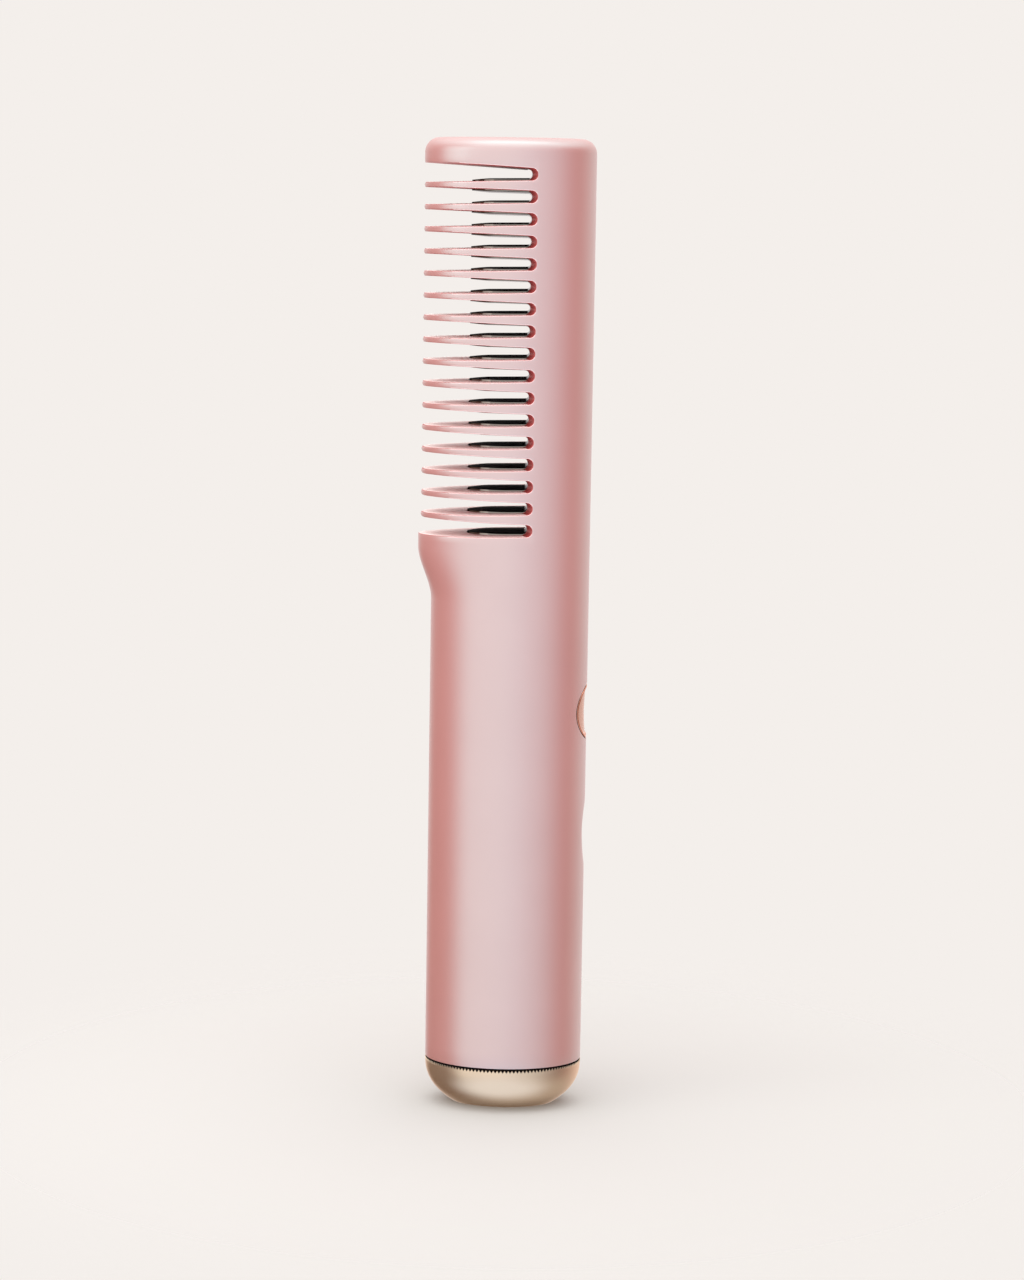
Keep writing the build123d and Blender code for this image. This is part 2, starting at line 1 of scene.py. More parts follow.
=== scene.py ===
"""Studio scene of a cordless hot comb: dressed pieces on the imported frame, floor, lights and camera.

Sizes are written in millimetres, as the frame's makers do, and turned to metres when a piece is finished.
"""

import json
import logging
import math
from dataclasses import dataclass, field
from enum import Enum, IntEnum
from typing import Callable, Iterable, Mapping, Sequence

import bmesh
import bpy
from mathutils import Matrix, Vector


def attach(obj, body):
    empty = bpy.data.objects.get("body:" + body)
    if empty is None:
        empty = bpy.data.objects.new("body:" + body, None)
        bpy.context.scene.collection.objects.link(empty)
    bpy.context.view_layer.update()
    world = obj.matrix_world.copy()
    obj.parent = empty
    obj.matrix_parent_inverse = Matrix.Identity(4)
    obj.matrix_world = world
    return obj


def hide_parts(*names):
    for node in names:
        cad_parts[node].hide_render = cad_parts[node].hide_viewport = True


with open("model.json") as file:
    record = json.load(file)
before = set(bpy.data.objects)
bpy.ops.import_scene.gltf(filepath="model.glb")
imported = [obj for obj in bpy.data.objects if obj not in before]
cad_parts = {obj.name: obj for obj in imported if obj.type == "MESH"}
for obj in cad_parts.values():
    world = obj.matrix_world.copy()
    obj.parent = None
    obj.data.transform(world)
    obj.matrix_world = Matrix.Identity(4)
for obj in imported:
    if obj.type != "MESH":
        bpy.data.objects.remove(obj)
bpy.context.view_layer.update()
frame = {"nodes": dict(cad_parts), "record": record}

MM = 0.001  # metres in a millimetre
WELD = 0.002  # distance in millimetres within which points are merged
SLOT_EDGE, RIM_EDGE = 1, 2  # marks of the edges that are rounded
Point = tuple[float, float, float]
Place = tuple[float, float]
Span = tuple[float, float]
Colour = tuple[float, float, float]
Paint = tuple[float, float, float, float]
Reach = Callable[[float, float], float]
Vert = bmesh.types.BMVert
Socket = bpy.types.NodeSocket
log = logging.getLogger("hot_comb")


def linear(red: int, green: int, blue: int) -> Paint:
    """Turn a display colour into the linear colour that a shader takes.

    Args:
        red: Red channel, 0 to 255.
        green: Green channel, 0 to 255.
        blue: Blue channel, 0 to 255.

    Returns:
        The linear colour with an alpha of 1.
    """
    channels = []
    for value in (red, green, blue):
        share = value / 255
        channels.append(share / 12.92 if share <= 0.04045 else ((share + 0.055) / 1.055) ** 2.4)
    return (channels[0], channels[1], channels[2], 1.0)


def put(name: str, data: bpy.types.ID) -> bpy.types.Object:
    """Put a new object into the scene.

    Args:
        name: Name of the object.
        data: Its mesh, light or camera.

    Returns:
        The object, at the origin.
    """
    made = bpy.data.objects.new(name, data)
    bpy.context.scene.collection.objects.link(made)
    return made


def settle(mesh: bmesh.types.BMesh, name: str) -> bpy.types.Mesh:
    """Turn a bmesh into mesh data and free it.

    Args:
        mesh: The bmesh.
        name: Name of the data.

    Returns:
        The mesh data.
    """
    data = bpy.data.meshes.new(name)
    mesh.to_mesh(data)
    mesh.free()
    return data


def crisp(mesh: bmesh.types.BMesh, smooth_angle: float) -> None:
    """Mark sharp edges as crisp and the others as smooth.

    Args:
        mesh: The bmesh.
        smooth_angle: Edges sharper than this many degrees are crisp.
    """
    limit = math.radians(smooth_angle)
    for edge in mesh.edges:
        edge.smooth = edge.is_manifold and edge.calc_face_angle(0.0) < limit


def face_outwards(mesh: bmesh.types.BMesh) -> None:
    """Turn all faces outwards."""
    bmesh.ops.recalc_face_normals(mesh, faces=mesh.faces[:])


class Graph:
    """A shader's node tree, which grows node by node."""

    def __init__(self, tree: bpy.types.NodeTree) -> None:
        """Take the tree that grows."""
        self.nodes = tree.nodes
        self.links = tree.links

    def feed(self, node: bpy.types.Node, inputs: Mapping[str | int, object]) -> None:
        """Link a node's inputs to the sockets, or set them to the values, that are given.

        Args:
            node: The node.
            inputs: Sockets and values, by the name or the number of the input.
        """
        for key, value in inputs.items():
            if isinstance(value, Socket):
                self.links.new(value, node.inputs[key])
            else:
                node.inputs[key].default_value = value

    def add(self, kind: str, inputs: Mapping[str | int, object]) -> bpy.types.Node:
        """Add a node and feed its inputs.

        Args:
            kind: Type of the node, such as TexNoise for a ShaderNodeTexNoise.
            inputs: Sockets and values, by the name or the number of the input.

        Returns:
            The node.
        """
        node = self.nodes.new(f"ShaderNode{kind}")
        self.feed(node, inputs)
        return node

    def noise(self, place: Socket, scale: float, detail: float) -> Socket:
        """Return noise at a place, from 0 to 1."""
        return self.add("TexNoise", {"Vector": place, "Scale": scale, "Detail": detail}).outputs["Fac"]

    def reckon(self, kind: str, way: str, *terms: object) -> bpy.types.Node:
        """Add a node that reckons with numbers or vectors.

        Args:
            kind: Math or VectorMath.
            way: Name of the operation.
            terms: Sockets and values that it works on, in order.

        Returns:
            The node.
        """
        node = self.nodes.new(f"ShaderNode{kind}")
        node.operation = way
        self.feed(node, dict(enumerate(terms)))
        return node

    def spread(self, value: Socket, source: Span, target: Span = (0.0, 1.0), smooth: bool = False) -> Socket:
        """Map a value from one range to another, and hold it at the ends.

        Args:
            value: The value.
            source: Ends of its range.
            target: What the ends become.
            smooth: Whether the change eases in and out.

        Returns:
            The mapped value.
        """
        node = self.nodes.new("ShaderNodeMapRange")
        if smooth:
            node.interpolation_type = "SMOOTHSTEP"
        self.feed(node, {"Value": value, "From Min": source[0], "From Max": source[1],
                         "To Min": target[0], "To Max": target[1]})
        return node.outputs["Result"]

    def mix(self, share: Socket, first: object, second: object, label: str = "") -> Socket:
        """Mix two colours.

        Args:
            share: Share of the second.
            first: The colour, or the socket that gives it, at a share of 0.
            second: The same at a share of 1.
            label: Label of the node.

        Returns:
            The mixed colour.
        """
        node = self.nodes.new("ShaderNodeMix")
        node.data_type = "RGBA"
        node.label = label
        self.feed(node, {0: share, 6: first, 7: second})
        return node.outputs[2]

    def blend_shaders(self, share: Socket, first: Socket, second: Socket, output: str) -> None:
        """Mix two shaders and send them to the tree's output.

        Args:
            share: Share of the second.
            first: The shader at a share of 0.
            second: The shader at a share of 1.
            output: Name of the output node.
        """
        mixed = self.add("MixShader", {0: share, 1: first, 2: second})
        self.feed(self.nodes[output], {"Surface": mixed.outputs["Shader"]})


class Grain(Enum):
    """The fine surface of a finish: its pattern's scale along X, Y and Z, and how much finer its bump is."""

    SATIN = ((1.0, 1.0, 1.0), 34.0)
    POLISHED = ((1.0, 1.0, 1.0), 9.0)
    BRUSHED = ((1.0, 1.0, 14.0), 24.0)
    CAST = ((1.0, 1.0, 1.0), 16.0)
    MOULDED = ((1.0, 1.0, 1.0), 28.0)
    LAMINATE = ((3.0, 3.0, 1.0), 20.0)
    SLEEVE = ((1.0, 1.0, 5.0), 12.0)


@dataclass(frozen=True)
class Finish:
    """A procedural finish: two mottled tones, a roughness range and a fine bump.

    Attributes:
        name: Name of the material slot in the record.
        tone: Main colour.
        shade: Colour that the mottling drifts to.
        grain: Kind of fine surface.
        metallic: Share of metal in the shader.
        roughness: Lowest and highest roughness.
        ior: Refractive index, which sets how strongly a non-metal reflects.
        gloss: Colour of a non-metal's reflection, or of a metal's at a slant.
        bump: Height of the fine bump in millimetres.
        scale: Size of the mottling, in cycles per metre.
        coat: Weight of the clear coat.
        coat_roughness: Roughness of the clear coat.
        transmission: Share of light that passes through.
        glow: Strength of the light the finish gives off.
        tone_range: Part of the mottling over which the colour drifts.
        roughness_range: Part of the mottling over which the roughness changes.
        bump_strength: Share of the fine bump that is felt.
    """

    name: str
    tone: Paint
    shade: Paint
    grain: Grain
    metallic: float = 0.0
    roughness: Span = (0.4, 0.5)
    ior: float = 1.5
    gloss: Colour = (1.0, 1.0, 1.0)
    bump: float = 0.004
    scale: float = 90.0
    coat: float = 0.0
    coat_roughness: float = 0.2
    transmission: float = 0.0
    glow: float = 0.0
    tone_range: Span = (0.35, 0.7)
    roughness_range: Span = (0.3, 0.7)
    bump_strength: float = 0.5

    def build(self) -> bpy.types.Material:
        """Make the Blender material.

        Returns:
            The material, with its node tree finished.
        """
        material = bpy.data.materials.new(self.name)
        material.use_nodes = True
        graph = Graph(material.node_tree)
        shader = graph.nodes["Principled BSDF"]
        graph.feed(shader, {
            "Metallic": self.metallic, "IOR": self.ior, "Specular Tint": (*self.gloss, 1.0),
            "Coat Weight": self.coat, "Coat Roughness": self.coat_roughness,
            "Transmission Weight": self.transmission,
        })
        if self.glow:
            graph.feed(shader, {"Emission Color": self.tone, "Emission Strength": self.glow})
        stretch, fineness = self.grain.value
        place = graph.add("TexCoord", {}).outputs["Object"]
        place = graph.add("Mapping", {"Vector": place, "Scale": stretch}).outputs["Vector"]
        mottle = graph.noise(place, self.scale, detail=3.0)
        height = graph.noise(place, self.scale * fineness, detail=2.0)
        bump = graph.add("Bump", {"Height": height, "Strength": self.bump_strength, "Distance": self.bump * MM})
        graph.feed(shader, {
            "Base Color": graph.mix(graph.spread(mottle, self.tone_range), self.tone, self.shade),
            "Roughness": graph.spread(mottle, self.roughness_range, self.roughness),
            "Normal": bump.outputs["Normal"],
        })
        return material


FINISHES = (
    Finish("rose_casing", linear(200, 129, 125), linear(197, 125, 121), Grain.SATIN,
           roughness=(0.31, 0.34), ior=3.0, gloss=(0.5, 1.0, 1.0), bump=0.002, scale=60.0),
    # Pale pink on the outer bevel round each slot: a painted highlight of the rounded edge.
    Finish("rose_painted_highlight", linear(255, 226, 223), linear(252, 220, 217), Grain.SATIN,
           roughness=(0.4, 0.46), ior=1.6, bump=0.001, scale=60.0),
    # Near white on the slots' upward-facing lower walls: a painted sheen, the reflection of the bright light above.
    Finish("rose_painted_sheen", linear(255, 236, 231), linear(252, 230, 225), Grain.SATIN,
           roughness=(0.36, 0.42), ior=1.3, bump=0.001, scale=60.0),
    # Deeper red on the slots' ends, downward-facing upper walls and inner bevels: painted shade inside the slots.
    Finish("rose_painted_shade", linear(178, 84, 82), linear(170, 76, 74), Grain.MOULDED,
           roughness=(0.4, 0.46), ior=1.45, bump=0.001, scale=90.0),
    Finish("polished_casting", linear(120, 112, 106), linear(110, 102, 96), Grain.POLISHED, metallic=1.0,
           roughness=(0.07, 0.11), gloss=(0.02, 0.015, 0.015), bump=0.0002, scale=60.0),
    Finish("champagne_metal", linear(198, 178, 155), linear(196, 176, 153), Grain.SATIN, metallic=0.8,
           roughness=(0.25, 0.27), gloss=(0.95, 0.85, 0.75), bump=0.0003, scale=60.0),
    Finish("rose_gold", linear(196, 138, 116), linear(184, 126, 104), Grain.POLISHED, metallic=1.0,
           roughness=(0.03, 0.05), bump=0.0002, scale=90.0),
    # Lighter rose gold for the button's polished rim: the polish is real, the lighter tone a painted highlight.
    Finish("polished_rim_painted_highlight", linear(214, 170, 150), linear(206, 160, 140), Grain.POLISHED, metallic=1.0,
           roughness=(0.08, 0.12), bump=0.0002, scale=90.0),
    Finish("copper_satin", linear(192, 154, 136), linear(184, 146, 128), Grain.SATIN, metallic=0.5,
           roughness=(0.26, 0.32), bump=0.001, scale=90.0),
    # Near black, put on the metal teeth's upward faces: a painted dark reflection of the shaded pink teeth above.
    Finish("black_painted_reflection", linear(10, 7, 6), linear(14, 11, 10), Grain.SATIN,
           roughness=(0.5, 0.6), ior=1.05, bump=0.0005, scale=90.0),
    # Also put on the cap's notched rim and in the trim ring's gap as painted shade.
    Finish("black_plastic", linear(14, 11, 10), linear(20, 16, 14), Grain.MOULDED,
           roughness=(0.5, 0.6), ior=1.15, gloss=(1.0, 0.75, 0.62), scale=120.0),
    Finish("seal_rubber", linear(38, 36, 36), linear(52, 49, 48), Grain.MOULDED,
           roughness=(0.6, 0.72), scale=150.0),
    Finish("screw_steel", linear(150, 150, 152), linear(128, 128, 131), Grain.BRUSHED, metallic=1.0,
           roughness=(0.24, 0.38), scale=140.0),
    Finish("heater_ceramic", linear(214, 206, 196), linear(200, 190, 178), Grain.CAST,
           roughness=(0.5, 0.65), scale=160.0),
    Finish("carrier_plastic", linear(196, 186, 166), linear(184, 173, 152), Grain.MOULDED,
           roughness=(0.42, 0.55), scale=110.0),
    Finish("spring_steel", linear(168, 168, 170), linear(146, 147, 150), Grain.BRUSHED, metallic=1.0,
           roughness=(0.2, 0.34), scale=120.0),
    Finish("thermistor_glass", linear(176, 120, 66), linear(152, 98, 50), Grain.POLISHED,
           roughness=(0.08, 0.16), coat=0.5, scale=150.0),
    Finish("fuse_metal", linear(170, 160, 140), linear(150, 138, 116), Grain.BRUSHED, metallic=1.0,
           roughness=(0.25, 0.4), scale=140.0),
    Finish("wire_sleeve", linear(176, 60, 50), linear(160, 50, 42), Grain.SLEEVE,
           roughness=(0.42, 0.55), scale=140.0),
    Finish("barrier_plastic", linear(206, 202, 194), linear(192, 188, 178), Grain.MOULDED,
           roughness=(0.5, 0.62), scale=110.0),
    Finish("cell_wrap", linear(58, 112, 150), linear(48, 98, 136), Grain.POLISHED,
           roughness=(0.22, 0.34), coat=0.4, scale=60.0),
    Finish("nickel", linear(186, 182, 172), linear(168, 163, 150), Grain.BRUSHED, metallic=1.0,
           roughness=(0.22, 0.36), scale=120.0),
    Finish("cradle_plastic", linear(226, 224, 218), linear(214, 211, 203), Grain.MOULDED,
           roughness=(0.45, 0.58), scale=110.0),
    Finish("board_laminate", linear(32, 92, 58), linear(24, 78, 48), Grain.LAMINATE,
           roughness=(0.32, 0.46), coat=0.3, scale=220.0),
    Finish("chip_resin", linear(30, 30, 32), linear(42, 42, 44), Grain.MOULDED,
           roughness=(0.5, 0.65), scale=220.0),
    Finish("switch_plastic", linear(46, 44, 44), linear(60, 57, 56), Grain.MOULDED,
           roughness=(0.4, 0.52), scale=180.0),
    Finish("led_resin", linear(250, 236, 196), linear(244, 226, 180), Grain.MOULDED,
           roughness=(0.3, 0.42), glow=0.4, scale=240.0),
    Finish("clear_plastic", linear(236, 240, 240), linear(226, 232, 232), Grain.POLISHED,
           roughness=(0.1, 0.2), transmission=0.7, scale=120.0),
    Finish("socket_steel", linear(176, 177, 180), linear(156, 157, 160), Grain.BRUSHED, metallic=1.0,
           roughness=(0.2, 0.34), scale=160.0),
)


class Wardrobe:
    """All finishes, made once and handed out by the name of their slot."""

    def __init__(self, finishes: Iterable[Finish]) -> None:
        """Build every material.

        Args:
            finishes: The finishes to build.
        """
        self.materials = {finish.name: finish.build() for finish in finishes}

    def dress(self, piece: bpy.types.Object, slot: str, *more: str) -> None:
        """Give a piece its finish and name the record's slot it stands for.

        Args:
            piece: The object to dress.
            slot: The name of the finish.
            more: Names of the finishes of its faces with a material index of 1 and up.
        """
        places = [face.material_index for face in piece.data.polygons]
        piece.data.materials.clear()
        piece.data.materials.append(self.materials[slot])
        for name in more:
            piece.data.materials.append(self.materials[name])
        for face, index in zip(piece.data.polygons, places):
            face.material_index = min(index, len(more))


class Skin:
    """A mesh grown row by row: each new row is extruded from the last and set on its own points.

    Attributes:
        mesh: The bmesh that grows, in millimetres.
        marks: Layer that holds each vertex's mark, by which edges are picked for rounding.
        row: Vertices of the current row.
        closed: Whether the last of them joins the first.
        side: Material index of the faces that grow.
    """

    def __init__(self) -> None:
        """Start with no rows."""
        self.mesh = bmesh.new()
        self.marks = self.mesh.verts.layers.int.new("marks")
        self.row: list[Vert] = []
        self.closed = False
        self.side = 0

    def start(self, points: Sequence[Point], closed: bool = False, mark: int = 0) -> list[Vert]:
        """Lay a first row of points, joined by edges.

        Args:
            points: Places of the row, in millimetres.
            closed: Whether the last point joins the first.
            mark: Number that names the row's edges, for rounding them later.

        Returns:
            The row's vertices, in order.
        """
        self.take([self.mesh.verts.new(point) for point in points], closed)
        for pair in self.pairs():
            self.mesh.edges.new(pair)
        for vert in self.row:
            vert[self.marks] = mark
        return self.row

    def take(self, row: Sequence[Vert], closed: bool = False) -> None:
        """Go on growing from a row that is already there."""
        self.row = list(row)
        self.closed = closed

    def pairs(self) -> list[tuple[Vert, Vert]]:
        """Return the current row's neighbours, two by two."""
        return list(zip(self.row, self.row[1:] + (self.row[:1] if self.closed else [])))

    def grow(self, points: Sequence[Point], mark: int = 0) -> list[Vert]:
        """Extrude the current row and set the new one on its points.

        Args:
            points: Places of the new row, as many as the row has.
            mark: Number that names the row's edges, for rounding them later.

        Returns:
            The new row's vertices, in order.
        """
        edges = [self.mesh.edges.get(pair) for pair in self.pairs()]
        made = bmesh.ops.extrude_edge_only(self.mesh, edges=edges)["geom"]
        fresh = {item for item in made if isinstance(item, Vert)}
        for item in made:
            if isinstance(item, bmesh.types.BMFace):
                item.material_index = self.side
        grown = []
        for vert, point in zip(self.row, points):
            risen = next(edge.other_vert(vert) for edge in vert.link_edges if edge.other_vert(vert) in fresh)
            risen.co = point
            risen[self.marks] = mark
            grown.append(risen)
        self.row = grown
        return grown

    def grow_rows(self, rows: Iterable[Sequence[Point]], side: int) -> None:
        """Grow several rows, one after the other.

        Args:
            rows: Places of each row.
            side: Material index of the faces between them.
        """
        self.side = side
        for points in rows:
            self.grow(points)

    def cap(self) -> None:
        """Close the current row with one face."""
        self.mesh.faces.new(self.row)

    def weld(self) -> None:
        """Merge points that lie on each other."""
        bmesh.ops.remove_doubles(self.mesh, verts=self.mesh.verts[:], dist=WELD)

    def close_holes(self) -> None:
        """Fill every open border with a face and turn all faces outwards."""
        border = [edge for edge in self.mesh.edges if edge.is_boundary]
        bmesh.ops.holes_fill(self.mesh, edges=border, sides=0)
        face_outwards(self.mesh)

    def marked(self, edge: bmesh.types.BMEdge, mark: int, least_angle: float = 30.0) -> bool:
        """Return whether an edge joins two vertices of a mark and is sharper than an angle, in degrees."""
        named = all(vert[self.marks] == mark for vert in edge.verts)
        return named and edge.is_manifold and edge.calc_face_angle(0.0) > math.radians(least_angle)

    def round_edges(self, mark: int, radius: float, segments: int) -> None:
        """Bevel the sharp edges that join two vertices of a mark.

        Args:
            mark: The mark.
            radius: Radius in millimetres.
            segments: Number of segments across the round.
        """
        edges = [edge for edge in self.mesh.edges if self.marked(edge, mark)]
        bmesh.ops.bevel(self.mesh, geom=edges, offset=radius, offset_type="OFFSET", segments=segments,
                        profile=0.5, affect="EDGES", clamp_overlap=True, material=-1)

    def mirror(self) -> None:
        """Add the mirror image across the middle plane and weld the two on it."""
        geometry = self.mesh.verts[:] + self.mesh.edges[:] + self.mesh.faces[:]
        bmesh.ops.mirror(self.mesh, geom=geometry, matrix=Matrix.Identity(4), merge_dist=0.0005, axis="Y")
        self.weld()
        face_outwards(self.mesh)

    def piece(self, name: str, smooth_angle: float = 32.0) -> bpy.types.Object:
        """Finish the mesh as an object in metres at the origin.

        Args:
            name: Name of the object.
            smooth_angle: Edges sharper than this many degrees stay crisp.

        Returns:
            The finished object.
        """
        bmesh.ops.scale(self.mesh, vec=(MM, MM, MM), verts=self.mesh.verts[:])
        for face in self.mesh.faces:
            face.smooth = True
        crisp(self.mesh, smooth_angle)
        return put(name, settle(self.mesh, name))


class Cut(Enum):
    """What a tool body does to the piece it meets."""

    AWAY = "DIFFERENCE"
    JOIN = "UNION"


@dataclass(frozen=True)
class Rod:
    """A round tool body between two points, for bores, bosses and openings.

    Attributes:
        start: Centre of one end, in millimetres.
        end: Centre of the other end.
        radius: Radius in millimetres.
        action: Whether it cuts or joins.
        segments: Number of sides.
    """

    start: Point
    end: Point
    radius: float
    action: Cut = Cut.AWAY
    segments: int = 40

    def body(self) -> bpy.types.Object:
        """Make the rod.

        Returns:
            Its object, in metres.
        """
        mesh = bmesh.new()
        line = Vector(self.end) - Vector(self.start)
        bmesh.ops.create_cone(mesh, cap_ends=True, segments=self.segments, radius1=self.radius,
                              radius2=self.radius, depth=line.length)
        turn = line.to_track_quat("Z", "Y").to_matrix().to_4x4()
        middle = (Vector(self.start) + Vector(self.end)) / 2
        bmesh.ops.transform(mesh, matrix=Matrix.Translation(middle) @ turn, verts=mesh.verts[:])
        bmesh.ops.scale(mesh, vec=(MM, MM, MM), verts=mesh.verts[:])
        return put("rod", settle(mesh, "rod"))


def work(piece: bpy.types.Object, rods: Sequence[Rod], smooth_angle: float = 32.0) -> None:
    """Cut and join a row of rods into a piece, and leave a plain mesh.

    Args:
        piece: The object that is worked.
        rods: The tool bodies, in order.
        smooth_angle: Edges sharper than this many degrees stay crisp.
    """
    bodies = [rod.body() for rod in rods]
    for rod, body in zip(rods, bodies):
        step = piece.modifiers.new("work", "BOOLEAN")
        step.operation = rod.action.value
        step.solver = "EXACT"
        step.object = body
    bpy.context.view_layer.update()
    evaluated = piece.evaluated_get(bpy.context.evaluated_depsgraph_get())
    data = bpy.data.meshes.new_from_object(evaluated)
    piece.modifiers.clear()
    old = piece.data
    piece.data = data
    data.name = piece.name
    for spent in [old] + [body.data for body in bodies]:
        bpy.data.meshes.remove(spent)
    mesh = bmesh.new()
    mesh.from_mesh(data)
    crisp(mesh, smooth_angle)
    mesh.to_mesh(data)
    mesh.free()


@dataclass(frozen=True)
class Outline:
    """The body's outline seen from above: an oval that swells on the teeth side of the comb.

    Attributes:
        half_width: Half the width of the handle.
        half_depth: Half the depth.
        overhang: How far the comb stands out beyond the handle.
        front_ratio: Pull of the curve beside the widest point, at the comb.
        tip_ratio: Pull of the curve at the comb's tip.
        circle_ratio: Pull that gives a round quarter.
    """

    half_width: float = 16.25
    half_depth: float = 12.0
    overhang: float = 2.35
    front_ratio: float = 0.5
    tip_ratio: float = 0.48
    circle_ratio: float = 0.5523

    def teeth_side(self, share: float, swell: float, inset: float) -> Place:
        """Return a place on the curve from the widest point (0) to the tip (1).

        Args:
            share: Place along the curve.
            swell: 0 on the handle, 1 at the comb.
            inset: Distance that the outline is drawn in.

        Returns:
            X and Y of the place, on the front side.
        """
        left = -(self.half_width + swell * self.overhang - inset)
        depth = self.half_depth - inset
        front = (self.circle_ratio + swell * (self.front_ratio - self.circle_ratio)) * left
        tip = (self.circle_ratio + swell * (self.tip_ratio - self.circle_ratio)) * depth
        back = 1 - share
        x = 3 * back * back * share * front + 3 * back * share * share * left + share**3 * left
        y = back**3 * depth + 3 * back * back * share * depth + 3 * back * share * share * tip
        return x, -y

    def spine_side(self, turn: float, inset: float) -> Place:
        """Return a place on the quarter oval, from the widest point (0) to the spine (pi / 2)."""
        return (self.half_width - inset) * math.sin(turn), -(self.half_depth - inset) * math.cos(turn)

    def face_x(self, y: float, inset: float = 0.0) -> float:
        """Return how far the spine side reaches at a depth Y."""
        share = min(1.0, abs(y) / (self.half_depth - inset))
        return (self.half_width - inset) * math.sqrt(1 - share * share)


@dataclass(frozen=True)
class Slots:
    """The wedge-shaped slots between teeth: round at the root, opening towards the tips and outwards.

    Attributes:
        root: X of the slot's end on the middle plane.
        root_height: Height at the root on the middle plane.
        growth: Growth of the height per millimetre towards the tips.
        draft: Slope of the root's radius away from the middle plane, in degrees.
        root_draft: Slope of the slot's end away from the middle plane, in degrees.
        soften: Half width of the rounded ridge on the middle plane.
        lift: How much further the highest slot opens upwards at the tips, per millimetre.
        lowest: Height of the lowest slot.
        pitch: Distance between slots.
        count: Number of slots.
    """

    root: float
    root_height: float
    growth: float
    draft: float
    root_draft: float
    soften: float = 0.0
    lift: float = 0.0
    lowest: float = 121.04
    pitch: float = 4.46
    count: int = 17

    def heights(self) -> list[float]:
        """Return the heights of all slots, from the lowest up."""
        return [self.lowest + step * self.pitch for step in range(self.count)]

    def rise(self, y: float) -> float:
        """Return the distance from the middle plane, eased over the ridge."""
        return math.sqrt(y * y + self.soften * self.soften) - self.soften

    def radius(self, y: float) -> float:
        """Return the root arc's radius at a depth Y."""
        return self.root_height / 2 + math.tan(math.radians(self.draft)) * self.rise(y)

    def turn(self, y: float) -> float:
        """Return X of the root arc's centre at a depth Y."""
        return self.root + math.tan(math.radians(self.root_draft)) * self.rise(y) - self.radius(y)

    def half_height(self, x: float, y: float) -> float:
        """Return half the slot's height at a place in front of the root arc."""
        return self.radius(y) + self.growth / 2 * (self.turn(y) - x)

    def arc(self, steps: int) -> list[float]:
        """Return the turns of the root arc's columns, from the slot's edge to its end."""
        return [math.radians(90 * step / steps) for step in range(steps, -1, -1)]


class Zone(IntEnum):
    """Zones of the casing, in the order of the finishes that dress them.

    FACE is the plain skin, SHADED a slot's end, upper wall and inner edges, painted deeper red as painted shade, RIM
    the light edge round the slot, a painted highlight, and FLOOR its lower wall, painted near white as a painted sheen.
    """

    FACE = 0
    SHADED = 1
    RIM = 2
    FLOOR = 3


